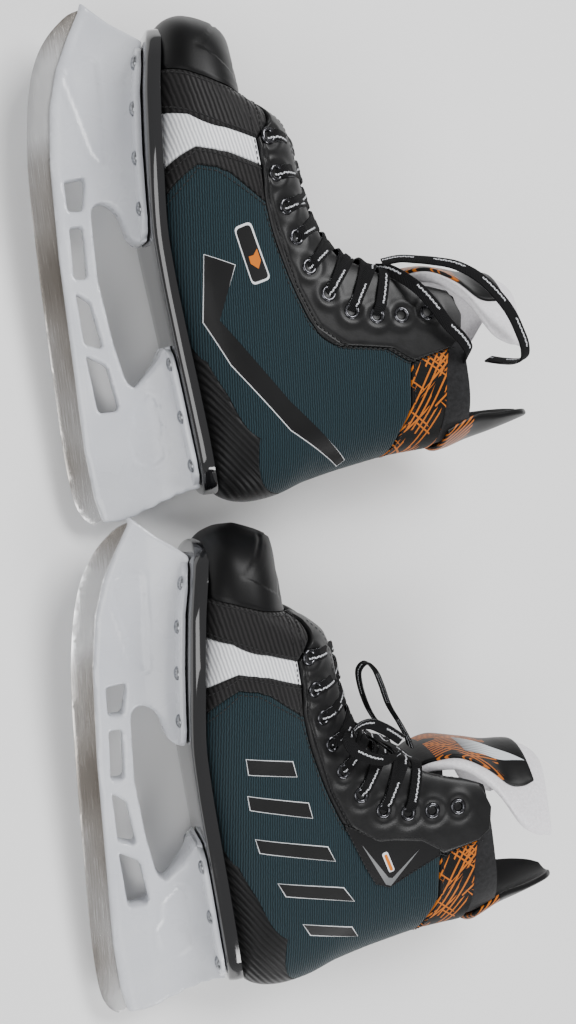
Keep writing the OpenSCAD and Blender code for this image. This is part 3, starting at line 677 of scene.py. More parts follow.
# ---------------------------------------------------------------- inside the boot
# A stiff lasting board closes the bottom, a removable footbed lies on it and a brushed foam
# liner covers the whole inside up to a padded collar. The upper is lasted over a foot form, a fan
# of sections round a pivot in front of the ankle: a is the angle of the section, v runs from 0
# under the sole to 1 at the throat.
PIVOT = np.array([60.0, 230.0])
SOLE_LINE = [(133, 99), (132, 90), (126, 80.5), (112, 75.5), (90, 71.5), (60, 69), (15, 67.5),
             (-15, 70), (-45, 73), (-90, 77), (-122, 80), (-134, 87), (-139, 100), (-138, 118),
             (-132, 138), (-127, 165), (-123, 195), (-121, 232)]
THROAT_LINE = [(132.5, 103), (130, 110), (124, 116.5), (106, 120), (92, 121), (84, 123),
               (77, 134), (68, 143), (47, 148), (12, 156), (-5, 167), (-14, 183), (-24, 205),
               (-30, 228), (-32, 240)]
HALF_WIDTH = [(60.8, 2), (61.5, 11), (63, 22), (66, 33), (70, 39), (78, 43), (90, 43.5), (100, 41),
              (115, 36), (130, 34), (147, 33), (160, 33), (172, 35), (186, 38)]
THROAT_HALF = [(60.8, 0.3), (76, 0.3), (79, 4), (84, 13), (99, 15), (123, 17), (136, 20),
               (148, 24), (163, 28), (186, 30)]
SQUARENESS = [(60, 2.4), (75, 3), (118, 3), (140, 2.5), (186, 2.2)]
WIDEST = 0.55
PANEL = 1.8
LINER_TOE, LINER_HEEL = 61.6, 183.5
LINER_OUT, LINER_IN = -0.35, -4.6


def fan_angle(x, z):
    a = np.degrees(np.arctan2(PIVOT[1] - z, x - PIVOT[0]))
    return np.where(a < -90, a + 360, a)


def polar(line):
    p = np.array(line, float)
    return np.stack([fan_angle(p[:, 0], p[:, 1]), np.hypot(*(p - PIVOT).T)], 1)


def smooth_at(table, x):
    t = np.asarray(table, float)
    x = np.asarray(x, float)
    k, y = t[:, 0], t[:, 1]
    m = np.empty_like(y)
    m[1:-1] = (y[2:] - y[:-2]) / (k[2:] - k[:-2])
    m[0] = (y[1] - y[0]) / (k[1] - k[0])
    m[-1] = (y[-1] - y[-2]) / (k[-1] - k[-2])
    i = np.clip(np.searchsorted(k, x, side="right") - 1, 0, len(k) - 2)
    h = k[i + 1] - k[i]
    s = np.clip((x - k[i]) / h, 0, 1)
    return (y[i] * (1 + 2 * s) * (1 - s) ** 2 + m[i] * h * s * (1 - s) ** 2
            + y[i + 1] * s * s * (3 - 2 * s) + m[i + 1] * h * s * s * (s - 1))


SOLE_POLAR = polar(SOLE_LINE)
THROAT_POLAR = polar(THROAT_LINE)


def shell(a, v):
    a = np.asarray(a, float)
    v = np.asarray(v, float)
    far = smooth_at(SOLE_POLAR, a)
    near = smooth_at(THROAT_POLAR, a)
    w = smooth_at(HALF_WIDTH, a)
    o = smooth_at(THROAT_HALF, a)
    n = smooth_at(SQUARENESS, a)
    q = np.minimum(np.abs(v), 1)
    low = q < 0.5
    f = np.radians(np.where(low, 90 - 180 * q, 180 * q - 90))
    power = np.where(low, 2 / n, 0.9)
    sn = np.maximum(np.sin(f), 0) ** power
    cs = np.maximum(np.cos(f), 0) ** power
    t = np.where(low, WIDEST + (1 - WIDEST) * sn, WIDEST * (1 - sn))
    y = np.where(low, w * cs, o + (w - o) * cs)
    r = near + t * (far - near)
    c, s = np.cos(np.radians(a)), np.sin(np.radians(a))
    return np.stack([PIVOT[0] + r * c, np.sign(v + 1e-12) * y, PIVOT[1] - r * s], -1)


def shell_normal(a, v):
    a = np.asarray(a, float)
    v = np.asarray(v, float)
    da = shell(a + 0.4, v) - shell(a - 0.4, v)
    dv = shell(a, np.minimum(v + 0.02, 1)) - shell(a, np.maximum(v - 0.02, -1))
    n = np.cross(da, dv)
    return n / np.maximum(np.linalg.norm(n, axis=-1, keepdims=True), 1e-6)


def shell_at(a, v, d):
    d = np.asarray(d, float)
    return shell(a, v) + shell_normal(a, v) * d[..., None]


def grid_faces(nu, nv, start=0, flip=False):
    i, j = np.meshgrid(np.arange(nu), np.arange(nv), indexing="ij")
    a = (start + i * (nv + 1) + j).ravel()
    b = a + nv + 1
    quads = np.stack([a, b, b + 1, a + 1], 1)
    return (quads[:, ::-1] if flip else quads).tolist()


def sheet_solid(name, outer, inner, side):
    """A closed sheet between two grids of skate-frame points."""
    nu, nv = outer.shape[0] - 1, outer.shape[1] - 1
    half = (nu + 1) * (nv + 1)
    points = np.concatenate([outer.reshape(-1, 3), inner.reshape(-1, 3)])
    faces = grid_faces(nu, nv) + grid_faces(nu, nv, half, True)
    row = nv + 1
    rim = ([i * row for i in range(nu + 1)] + [nu * row + j for j in range(1, row)]
           + [i * row + nv for i in range(nu - 1, -1, -1)] + [j for j in range(nv - 1, 0, -1)])
    for a, b in zip(rim, rim[1:] + rim[:1]):
        faces.append([b, a, a + half, b + half])
    uv = points[:, [0, 2]] / MAP_SPAN
    return mesh_object(name, to_world(points, side), faces, uv)


def cloth_material(name, dark, light, scale=260.0, strength=0.35, rough=0.9, sheen=0.15):
    material, tree, shader = plain_material(name, dark, rough, specular=0.25, sheen=sheen)
    fuzz = noise(tree, scale, 4.0, 0.7)
    tone(tree, shader, fuzz, [(0.3, dark), (0.7, light)])
    bump(tree, shader, fuzz, strength, 0.0005)
    return material


LINER = cloth_material("brushed_liner", (0.004, 0.004, 0.0045), (0.016, 0.016, 0.0175), 420)
BOARD = cloth_material("lasting_board", (0.30, 0.24, 0.17), (0.42, 0.35, 0.26), 300)
FOOTBED = cloth_material("footbed_cloth", (0.012, 0.012, 0.013), (0.04, 0.04, 0.042), 500)


def liner(side):
    nu, nv = 130, 96
    a = LINER_TOE + (LINER_HEEL - LINER_TOE) * (0.65 * np.linspace(0, 1, nu + 1)
                                                + 0.35 * (1 - np.cos(np.linspace(0, math.pi / 2, nu + 1))))
    v = np.linspace(-0.985, 0.985, nv + 1)
    aa, vv = np.meshgrid(a, v, indexing="ij")
    # the collar rim is rolled
    top = np.clip((aa - 179) / 4.5, 0, 1)
    outer = shell_at(aa, vv, LINER_OUT + 0.0 * aa - 1.6 * top ** 2)
    inner = shell_at(aa, vv, LINER_IN + 0.0 * aa + 1.0 * top ** 2)
    obj = sheet_solid(side + "_padded_liner", outer, inner, side)
    give(obj, LINER, side, "liner")


# x, height and half width of the foot bed, from the toes to the heel
FOOTBED_LINE = [(108, 89.0, 11), (100, 87.2, 17.5), (90, 85.5, 21.5), (60, 83.0, 24.5), (35, 81.9, 22.5),
                (15, 81.5, 19.5), (-15, 84.0, 16.5), (-45, 87.0, 14.5), (-70, 89.3, 14.5), (-95, 91.4, 13.5),
                (-108, 92.7, 9.5)]


def footbed(side):
    """A die-cut foam bed: a rounded slab that rises a little along its sides and round the heel."""
    reach, rows, k = 109, 81, 40
    x = -reach + 2 * reach * (1 - np.cos(np.linspace(0, math.pi, rows))) / 2
    height = read_off(FOOTBED_LINE, x)
    end = np.clip(np.minimum(x + reach, reach - x) / 9, 0, 1)
    half = read_off(FOOTBED_LINE, x, 2) * np.sqrt(1 - (1 - end) ** 2) + 0.05
    turn_round = np.linspace(0, 2 * math.pi, k, endpoint=False)
    c, s = np.cos(turn_round), np.sin(turn_round)
    across = np.sign(c) * np.abs(c) ** 0.5
    up = np.sign(s) * np.abs(s) ** 0.4
    z = height[:, None] - 1.9 + 1.7 * up * np.ones_like(x)[:, None] + 0.9 * np.abs(across) ** 4
    verts = np.stack([np.repeat(x[:, None], k, 1), half[:, None] * across, z], axis=-1).reshape(-1, 3)
    obj = mesh_object(side + "_foam_footbed", to_world(verts, side), tube_faces(rows, k))
    smooth(obj, 60)
    give(obj, FOOTBED, side, "footbed")


for side in SIDES:
    liner(side)
    footbed(side)
    dress(side + "_insole_board", BOARD)

# ---------------------------------------------------------------- toe cap
# A hard satin moulding over the toes, with a sunk facet on each side of its crown.
CAP_EDGE = [(101, 74), (96, 88), (90, 103), (85, 119)]
CAP_LINE_A = [(125, 108), (117, 103), (109, 96)]
CAP_LINE_B = [(125, 118), (115, 119), (104, 118), (95, 116)]
WEDGE = [(125, 108), (109, 96), (95, 116), (104, 118), (125, 118)]


def fan_of(p):
    p = np.asarray(p, float)
    a = fan_angle(p[..., 0], p[..., 1])
    far = smooth_at(SOLE_POLAR, a)
    near = smooth_at(THROAT_POLAR, a)
    n = smooth_at(SQUARENESS, a)
    t = np.clip((np.hypot(p[..., 0] - PIVOT[0], p[..., 1] - PIVOT[1]) - near) / (far - near), 0, 1)
    out = np.clip((t - WIDEST) / (1 - WIDEST), 0, 1)
    low = 0.5 - np.degrees(np.arcsin(out ** (n / 2))) / 180
    high = 0.5 + np.degrees(np.arcsin(np.clip(1 - t / WIDEST, 0, 1) ** (1 / 0.9))) / 180
    return np.stack([a, np.where(t > WIDEST, low, high)], -1)


def satin_material(name, color, light, rough=0.42, grain=1500):
    material, tree, shader = plain_material(name, color, rough, specular=0.2)
    fine = noise(tree, grain, 2.0)
    wide = noise(tree, 35, 2.0)
    tone(tree, shader, wide, [(0.3, color), (0.75, light)])
    bump(tree, shader, fine, 0.22, 0.00015)
    return material


CAP = satin_material("satin_cap", (0.002, 0.002, 0.0022), (0.005, 0.005, 0.0055))


def squared(points):
    """Pushes the front corner of the cap out, so that its nose stands almost straight."""
    x, z = points[..., 0], points[..., 2]
    front = np.clip((x - 104) / 22, 0, 1) ** 2
    high = np.clip((z - 96) / 16, 0, 1)
    out = points.copy()
    out[..., 0] += 1.0 * front * high
    out[..., 2] += 3.4 * front * high
    return out


def closed_nose(grid, push):
    """Adds rows that draw the first section together, so that the nose of the cap is closed."""
    centre = grid[0].mean(0)
    rows = [centre + (grid[0] - centre) * share + np.array([push * (1 - share ** 2), 0, 0])
            for share in (0.02, 0.3, 0.55, 0.8)]
    return np.concatenate([rows, grid])


def toe_cap(side):
    nu, nv = 70, 150
    edge = fan_of(np.array(CAP_EDGE, float))
    v = np.linspace(-0.999, 0.999, nv + 1)
    far = np.interp(np.abs(v), edge[:, 1], edge[:, 0])
    t = np.linspace(0, 1, nu + 1) ** 1.7
    aa = 60.85 + (far[None] - 60.85) * t[:, None]
    vv = np.repeat(v[None], nu + 1, 0)
    base = shell(aa, vv)
    flat = base[..., [0, 2]].reshape(-1, 2)
    line_a = distance_to(flat, CAP_LINE_A, False).reshape(aa.shape)
    line_b = distance_to(flat, CAP_LINE_B, False).reshape(aa.shape)
    near_edge = np.clip((1 - t) * 22, 0, 1)[:, None]
    d = 1.8 + 0.5 * near_edge - 0.75 * np.exp(-(line_a / 1.3) ** 2) - 0.75 * np.exp(-(line_b / 1.2) ** 2)
    sunk = inside(flat, WEDGE).reshape(aa.shape)
    d = d - 0.55 * sunk * np.clip(np.minimum(line_a, line_b) / 3.0, 0, 1)
    outer = closed_nose(squared(shell_at(aa, vv, d)), 0.7)
    inner = closed_nose(squared(shell_at(aa, vv, np.zeros_like(aa))), -1.2)
    obj = sheet_solid(side + "_moulded_toe_cap", outer, inner, side)
    smooth(obj, 50)
    give(obj, CAP, side, "toe_cap")


for side in SIDES:
    toe_cap(side)

# ---------------------------------------------------------------- ribbed bands and flashes
# Stitched panels of embossed synthetic between the toe cap and the quarter: a dark band, a
# silver-white flash and a second dark band, each with its own fine ribs.
BAND_EDGE = [(80, 70.6), (74, 86), (66, 104), (60, 121)]
FLASH_EDGE = [(44, 68.6), (57, 88), (55, 97), (46, 123)]
QUARTER_EDGE = [(28, 68.2), (48, 88), (46, 98), (27, 124)]
FLANKS = [(side, sign, "outer" if sign == OUTER[side] else "inner") for side in SIDES for sign in (1, -1)]


def along(line, u):
    line = np.asarray(line, float)
    u = np.asarray(u, float) * (len(line) - 1)
    k = np.clip(np.floor(u).astype(int), 0, len(line) - 2)
    s = (u - k)[..., None]
    return line[k] * (1 - s) + line[k + 1] * s


def coons(bottom, top, front, back, u, w):
    b, t, f, k = (fan_of(e) for e in (bottom, top, front, back))
    uu, ww = np.meshgrid(u, w, indexing="ij")
    uu1, ww1 = uu[..., None], ww[..., None]
    return (along(b, uu) * (1 - ww1) + along(t, uu) * ww1
            + along(f, ww) * (1 - uu1) + along(k, ww) * uu1
            - (b[0] * (1 - uu1) + b[-1] * uu1) * (1 - ww1)
            - (t[0] * (1 - uu1) + t[-1] * uu1) * ww1)


def panel_depth(u, w, length, width, high, edge):
    """Height of a sewn panel: full inside and rounded down at its edges."""
    uu, ww = np.meshgrid(u, w, indexing="ij")
    near = np.minimum(np.minimum(uu, 1 - uu) * length, np.minimum(ww, 1 - ww) * width)
    s = np.clip(near / edge, 0, 1)
    return high * (0.25 + 0.75 * np.sqrt(1 - (1 - s) ** 2))


def on_flank(sign, *grids):
    """Points or normals of the uppermost flank, mirrored for the other one."""
    return [grid * (1, sign, 1) for grid in grids]


def sewn_panel(name, side, sign, bottom, top, front, back, counts, sizes, high=PANEL, edge=1.6,
               shape=None):
    u = eased(counts[0])
    w = eased(counts[1])
    g = coons(bottom, top, front, back, u, w)
    a, v = g[..., 0], g[..., 1]
    d = panel_depth(u, w, sizes[0], sizes[1], high, edge)
    if shape is not None:
        d = d + shape(shell(a, v))
    outer = shell_at(a, v, d)
    inner = shell_at(a, v, np.zeros_like(a))
    return sheet_solid(name, *on_flank(sign, outer, inner), side)


def waves(tree, vector, pitch, wobble, way, detail_scale):
    """Parallel bands a pitch in millimetres apart, rising and falling between 0 and 1."""
    wave = add(tree, "ShaderNodeTexWave", Distortion=wobble)
    wave.bands_direction = way
    wave.inputs["Scale"].default_value = MAP_SPAN / pitch * 0.314159
    wave.inputs["Detail"].default_value = 2.0
    wave.inputs["Detail Scale"].default_value = detail_scale
    tree.links.new(vector, wave.inputs["Vector"])
    return wave.outputs["Fac"]


def ribbed_material(name, dark, light, pitch, angle, rough=0.6, strength=0.6, sheen=0.1,
                    specular=0.4, wobble=1.2):
    material, tree, shader = plain_material(name, dark, rough, specular=specular, sheen=sheen)
    ribs = waves(tree, turned_map(tree, piece_map(tree), angle), pitch, wobble, "Y", 1.5)
    speck = noise(tree, 900, 2.0)
    mixed = math_node(tree, "ADD", math_node(tree, "MULTIPLY", ribs, 0.8),
                      math_node(tree, "MULTIPLY", speck, 0.25))
    tone(tree, shader, mixed, [(0.2, dark), (0.85, light)])
    bump(tree, shader, mixed, strength, 0.0006)
    return material


BAND = ribbed_material("dark_ribbed_band", (0.004, 0.0038, 0.004), (0.017, 0.016, 0.0165), 2.4, 14, 0.5,
                       specular=0.15)
FLASH = ribbed_material("silver_flash", (0.50, 0.51, 0.54), (0.88, 0.89, 0.90), 1.9, 14, 0.36, 0.35,
                        specular=0.5)
for side, sign, which in FLANKS:
    for kind, part, material, slot, near, far, counts, sizes in (
            ("toe_band", "toe_band" if sign > 0 else None, BAND, "band_fabric",
             CAP_EDGE, BAND_EDGE, (30, 60), (20, 55)),
            ("side_flash", which + "_flash", FLASH, "flash_fabric",
             BAND_EDGE, FLASH_EDGE, (36, 60), (20, 55)),
            ("flash_edging", which + "_flash_band", BAND, "band_fabric",
             FLASH_EDGE, QUARTER_EDGE, (24, 60), (14, 55))):
        panel = sewn_panel(f"{side}_{which}_{kind}", side, sign, [near[0], far[0]], [near[-1], far[-1]],
                           near, far, counts, sizes)
        give(panel, material, side, part)

# ---------------------------------------------------------------- quarters
# The big side panels: fine-ribbed teal synthetic over a stiff shell, sewn along every edge.
QUARTER_FOOT = [(28, 68.2), (0, 69), (-38, 72.5), (-55, 83), (-75, 92), (-100, 108), (-135.5, 130)]
QUARTER_TOP = [(27, 124), (-20, 136), (-43, 146), (-57, 163), (-61, 190), (-70, 203), (-95, 201),
               (-110, 194), (-125, 187)]
QUARTER_BACK = [(-135.5, 130), (-129, 160), (-125, 187)]
QUARTER = ribbed_material("teal_ribbed_quarter", (0.003, 0.0085, 0.011), (0.012, 0.031, 0.040), 1.35, -3,
                          0.62, 0.7, wobble=2.2, specular=0.15)
for side, sign, which in FLANKS:
    quarter = sewn_panel(f"{side}_{which}_quarter_panel", side, sign, QUARTER_FOOT, QUARTER_TOP,
                         QUARTER_EDGE, QUARTER_BACK, (150, 80), (170, 70))
    give(quarter, QUARTER, side, which + "_quarter")

# ---------------------------------------------------------------- heel counter
# A moulded cup round the heel with slanting ribs, overlapping the quarters' lower edges.
COUNTER_EDGE = [(-38, 74.5), (-55, 83.6), (-75, 92.6), (-100, 108.6), (-134.6, 130.5)]
COUNTER_FOOT = [(-38, 72), (-90, 76.5), (-122, 79.5), (-137, 89), (-141, 108), (-137, 130.5)]
COUNTER = ribbed_material("ribbed_counter", (0.002, 0.002, 0.0022), (0.009, 0.009, 0.0095), 3.0, 38, 0.42,
                          0.8, wobble=0.6, specular=0.15)
for side, sign, which in FLANKS:
    counter = sewn_panel(f"{side}_{which}_heel_counter", side, sign, COUNTER_FOOT, COUNTER_EDGE,
                         [COUNTER_FOOT[0], COUNTER_EDGE[0]], [COUNTER_FOOT[-1], COUNTER_EDGE[-1]],
                         (90, 50), (110, 40))
    give(counter, COUNTER, side, "heel_counter" if sign > 0 else None)

# ---------------------------------------------------------------- eyestays
# Smooth black leather round the throat, lightly padded so that it puffs up between the eyelets
# and the edge stitching.
STAY_EDGE = [(84, 120.6), (60, 122), (46, 123.4), (27, 124), (-20, 136), (-43, 146), (-57, 163), (-61, 190),
             (-70, 203), (-64, 227)]
STAY_TOP = [(83.2, 123), (77, 134), (68, 143), (47, 148), (12, 156), (-5, 167), (-14, 183), (-24, 205),
            (-28, 220), (-31, 230)]
STAY_END = [(-64, 227), (-58, 235), (-45, 237), (-31, 230)]
EYELETS = [(61, 128), (42, 131), (24, 136), (7, 141), (-10, 147), (-26, 157), (-37, 170), (-41, 185),
           (-42, 200), (-42, 216)]


def leather_material(name, dark, light, rough=0.42):
    material, tree, shader = plain_material(name, dark, rough, specular=0.25, coat=0.08, coat_rough=0.3)
    texture = add(tree, "ShaderNodeTexVoronoi", Scale=1100.0)
    texture.feature = "DISTANCE_TO_EDGE"
    tree.links.new(add(tree, "ShaderNodeTexCoord").outputs["Object"], texture.inputs["Vector"])
    wrinkle = noise(tree, 130, 4.0, 0.6)
    tone(tree, shader, wrinkle, [(0.3, dark), (0.72, light)])
    first = bump(tree, shader, texture.outputs["Distance"], 0.25, 0.0002)
    bump(tree, shader, wrinkle, 0.2, 0.0006, first)
    return material


LEATHER = leather_material("black_leather", (0.003, 0.003, 0.0033), (0.009, 0.009, 0.0095))


def stay_puff(points):
    """Rounded bulges between the eyelets and a sunk seam line inside the lower edge."""
    flat = points[..., [0, 2]].reshape(-1, 2)
    rise = np.zeros(len(flat))
    for spot in EYELETS:
        r = np.linalg.norm(flat - np.array(spot), axis=1)
        rise += 0.9 * np.exp(-((r - 7.2) / 2.4) ** 2) - 0.9 * np.exp(-(r / 3.6) ** 2)
    seam_line = distance_to(flat, np.array(STAY_EDGE) + (0, 2.6), False)
    rise -= 0.8 * np.exp(-(seam_line / 0.9) ** 2)
    return rise.reshape(points.shape[:-1])


for side, sign, which in FLANKS:
    stay = sewn_panel(f"{side}_{which}_leather_eyestay", side, sign, STAY_EDGE, STAY_TOP,
                      [STAY_EDGE[0], STAY_TOP[0]], STAY_END, (260, 64), (260, 24), high=2.6, edge=2.2,
                      shape=stay_puff)
    give(stay, LEATHER, side, which + "_eyestay")

# ---------------------------------------------------------------- eyelets
# Black-nickel eyelets pressed through the leather, with a rolled rim and an open barrel; a near-black disc
# inside each barrel is painted shade of the hole.
EYELET_BASE = 2.2
EYELET_RING = [(2.4 + 1.25 * (1 - math.cos(t)), 1.3 * math.sin(t)) for t in np.linspace(0, math.pi, 9)]
EYELET_RING += [(4.9, -0.6), (2.6, -0.6), (2.4, -1.8), (2.15, -1.8), (2.1, -0.5)]
HOLE_SHADE_DISC = [(0.05, -1.2), (2.3, -1.2), (2.3, -1.6), (0.05, -1.6)]
EYELET = scratched_metal("black_nickel", (0.05, 0.05, 0.055), 0.16, 900,
                         [(0.35, (0.03, 0.03, 0.034)), (0.65, (0.13, 0.13, 0.14))], 0.1)
HOLE_SHADE_MATERIAL = plain_material("eyelet_shadow", (0.003, 0.003, 0.003), 0.9)[0]


def eyelet_spots(sign):
    g = fan_of(np.array(EYELETS, float))
    points = shell_at(g[:, 0], g[:, 1], np.full(len(g), EYELET_BASE))
    normals = shell_normal(g[:, 0], g[:, 1])
    return on_flank(sign, points, normals)


for side in SIDES:
    places = [place for sign in (1, -1) for place in zip(*eyelet_spots(sign))]
    rings = turned(side + "_eyelet_rings", EYELET_RING, 28, places, side, closed=True)
    smooth(rings, 60)
    give(rings, EYELET, side, "eyelets")
    # near-black discs closing the eyelet openings: painted shade of the holes
    hole_shade_discs = turned(side + "_eyelet_hole_shade_discs", HOLE_SHADE_DISC, 20, places, side)
    give(hole_shade_discs, HOLE_SHADE_MATERIAL, side)

# ---------------------------------------------------------------- cuff panels
# Black cloth printed with crossing orange scratches, behind the eyestay round the ankle top.
CUFF_FOOT = [(-70, 203), (-95, 201), (-110, 194), (-124, 187)]
CUFF_TOP = [(-64, 227), (-80, 224), (-97, 223), (-121.5, 220)]
CUFF_FRONT = [(-70, 203), (-64, 227)]
CUFF_BACK = [(-124, 187), (-121.5, 220)]
PRINT_ORANGE = (0.46, 0.125, 0.010)


def hatch(tree, vector, angle, pitch, duty, wobble, patch_size, patch_share):
    """A patchy set of thin printed lines: 1 on a line, 0 between."""
    way = turned_map(tree, vector, angle)
    lines = waves(tree, way, pitch, wobble, "Y", 0.35)
    patch = noise(tree, patch_size, 2.0, 0.5, turned_map(tree, way, scale=(0.35, 1.6, 1)))
    return math_node(tree, "MULTIPLY", math_node(tree, "GREATER_THAN", lines, duty),
                     math_node(tree, "GREATER_THAN", patch, patch_share))


def scratch_material():
    material, tree, shader = plain_material("orange_scratch_print", (0.003, 0.003, 0.003), 0.55,
                                            specular=0.15)
    uv = piece_map(tree)
    first = hatch(tree, uv, -48, 2.5, 0.62, 1.0, 5.0, 0.50)
    second = hatch(tree, uv, 50, 2.9, 0.78, 0.8, 6.0, 0.55)
    third = hatch(tree, uv, -30, 3.4, 0.8, 0.8, 6.0, 0.5)
    total = math_node(tree, "MAXIMUM", first, math_node(tree, "MAXIMUM", second, third))
    tone(tree, shader, total, [(0.0, (0.003, 0.003, 0.003)), (1.0, PRINT_ORANGE)])
    bump(tree, shader, noise(tree, 700, 3.0), 0.3, 0.0003)
    return material


SCRATCH = scratch_material()
for side, sign, which in FLANKS:
    cuff = sewn_panel(f"{side}_{which}_cuff_panel", side, sign, CUFF_FOOT, CUFF_TOP, CUFF_FRONT,
                      CUFF_BACK, (60, 40), (60, 25))
    give(cuff, SCRATCH, side, which + "_cuff")

# ---------------------------------------------------------------- tendon guard
# A flexible moulded plate sewn into the back of the collar; it bends back with the ankle.
# Each station holds x, z, half width, sweep and the way of the sweep in degrees.
GUARD = [(-126.5, 225, 31, 12, 0), (-125, 234, 30, 14, 2), (-121.5, 247, 27, 14, 3),
         (-118.5, 262, 22, 10, 3), (-115.5, 275, 18, 7, 0), (-113, 285, 13, 4, -5),
         (-111.5, 291, 7, 1.5, -10)]


def wing_grid(stations, start, q, count):
    """Points of a sheet with swept-back wings: stations hold x, z, half width, sweep and its way."""
    s = np.asarray(stations, float)
    t = np.linspace(0, 1, count + 1) * (len(s) - 1)
    cols = [smooth_at(np.c_[np.arange(len(s)), s[:, k]], t) for k in range(5)]
    x, z, half, sweep, way = (c[:, None] for c in cols)
    back = sweep * q * q + start
    way = np.radians(way)
    return np.stack([x + np.cos(way) * back, q * (half - 0.35 * start) + 0 * x, z + np.sin(way) * back], -1)


def wing_solid(name, stations, near, far, side, count=70, across=60, soft=1.2):
    q = np.linspace(-1, 1, across + 1)
    q = np.sign(q) * (1 - (1 - np.abs(q)) ** 1.3)
    qq = np.repeat(q[None], count + 1, 0)
    t = np.linspace(0, 1, count + 1)[:, None]
    rim = np.minimum((1 - np.abs(qq)) * 30, np.minimum(t, 1 - t) * 70)
    ease = 1 - np.sqrt(np.clip(1 - (1 - np.clip(rim / 3.0, 0, 1)) ** 2, 0, 1))
    outer = wing_grid(stations, near + soft * ease, qq, count)
    inner = wing_grid(stations, far - soft * ease, qq, count)
    return sheet_solid(name, outer, inner, side)


def guard_material():
    material, tree, shader = plain_material("guard_plastic", (0.003, 0.003, 0.0033), 0.38, specular=0.2)
    uv = piece_map(tree)
    height = split_map(tree, uv)[1]
    lines = hatch(tree, uv, -48, 2.5, 0.6, 0.8, 5.0, 0.42)
    low = math_node(tree, "LESS_THAN", height, 2.44)
    tone(tree, shader, math_node(tree, "MULTIPLY", lines, low),
         [(0.0, (0.004, 0.004, 0.0043)), (1.0, PRINT_ORANGE)])
    bump(tree, shader, noise(tree, 1500, 2.0), 0.22, 0.00015)
    return material


GUARD_MATERIAL = guard_material()
for side in SIDES:
    guard = wing_solid(side + "_flex_tendon_guard", GUARD, 0, 3.5, side)
    give(guard, GUARD_MATERIAL, side, "tendon_guard", side + "_guard")

# ---------------------------------------------------------------- tongue
# A padded tongue: black leather outside with a printed silver and orange field near its tip, thick
# white felt inside that stands past the leather. It runs under the lacing and folds above it.
UNDER_LACING = [(79, 121, 18, 5, -82), (60, 134, 23, 8, -80), (30, 138.5, 26, 9, -84),
                (5, 146, 27, 10, -100), (-9, 157, 24, 8, -130), (-15.5, 172, 21, 5, -155),
                (-19, 186, 19, 3, -168), (-18, 197, 18, 2, -180)]
TONGUE = UNDER_LACING + [(-13.5, 208, 21, 2.7, -182), (-12, 224, 25, 3.3, -184),
                         (-14, 239, 29, 9.3, -184), (-17, 252, 31, 17.7, -182),
                         (-18, 262, 31, 19, -180), (-19, 271, 29, 17, -177)]
FELT = UNDER_LACING + [(-13.5, 208, 23, 3, -182), (-12, 224, 31, 5, -184), (-14, 239, 38, 16, -184),
                       (-17, 252, 43, 34, -182), (-18, 262, 45, 40, -180), (-19, 271, 44.5, 41, -177),
                       (-21.5, 278, 43, 40, -174), (-26, 284.5, 38, 34, -165),
                       (-31, 288.5, 30, 24, -155)]


def tongue_material(silver):
    name = "printed_tongue_silver" if silver else "printed_tongue"
    material, tree, shader = plain_material(name, (0.003, 0.003, 0.0033), 0.4, specular=0.2)
    uv = piece_map(tree, "front")
    across, up = split_map(tree, uv)
    first = hatch(tree, uv, 78, 2.2, 0.62, 1.2, 9.0, 0.48)
    second = hatch(tree, uv, 118, 2.6, 0.6, 1.0, 8.0, 0.52)
    lines = math_node(tree, "MAXIMUM", first, second)
    above = math_node(tree, "GREATER_THAN", up, 2.10)
    below = math_node(tree, "LESS_THAN", up, 2.50 if silver else 2.42)
    mask = math_node(tree, "MULTIPLY", lines, math_node(tree, "MULTIPLY", above, below))
    color = ramp(tree, mask, [(0.0, (0.003, 0.003, 0.0033)), (1.0, (0.42, 0.115, 0.010))])
    if silver:
        # a ribbed silver wedge whose point lies near the tip on the shown side
        reach = math_node(tree, "SUBTRACT", 2.69, up)
        middle = math_node(tree, "SUBTRACT", 0.20, math_node(tree, "MULTIPLY", reach, 0.30))
        off = math_node(tree, "ABSOLUTE", math_node(tree, "SUBTRACT", across, middle))
        inside_it = math_node(tree, "LESS_THAN", off, math_node(tree, "MULTIPLY", reach, 0.27))
        start = math_node(tree, "GREATER_THAN", up, 2.30)
        fade = math_node(tree, "MULTIPLY", math_node(tree, "SUBTRACT", up, 2.28), 3.2)
        ribs = waves(tree, uv, 2.0, 1.0, "X", 1.0)
        shade = math_node(tree, "ADD", math_node(tree, "MULTIPLY", ribs, 0.35), fade)
        silver_tone = ramp(tree, shade, [(0.1, (0.05, 0.05, 0.052)), (0.9, (0.66, 0.69, 0.72))])
        blend_in = tree.nodes.new("ShaderNodeMix")
        blend_in.data_type = "RGBA"
        tree.links.new(math_node(tree, "MULTIPLY", inside_it, start), blend_in.inputs[0])
        tree.links.new(color, blend_in.inputs[6])
        tree.links.new(silver_tone, blend_in.inputs[7])
        color = blend_in.outputs[2]
    tree.links.new(color, shader.inputs["Base Color"])
    bump(tree, shader, noise(tree, 300, 4.0), 0.3, 0.0004)
    return material


def front_map(obj, side):
    """A second map of a tongue seen from the front: y and z of the skate over 100 mm."""
    turn, origin = FRAMES[side]
    co = np.empty(len(obj.data.vertices) * 3)
    obj.data.vertices.foreach_get("co", co)
    local = (co.reshape(-1, 3) - origin) @ turn * 10
    layer = obj.data.uv_layers.new(name="front")
    loop_verts = np.empty(len(obj.data.loops), int)
    obj.data.loops.foreach_get("vertex_index", loop_verts)
    layer.data.foreach_set("uv", local[:, 1:][loop_verts].ravel())


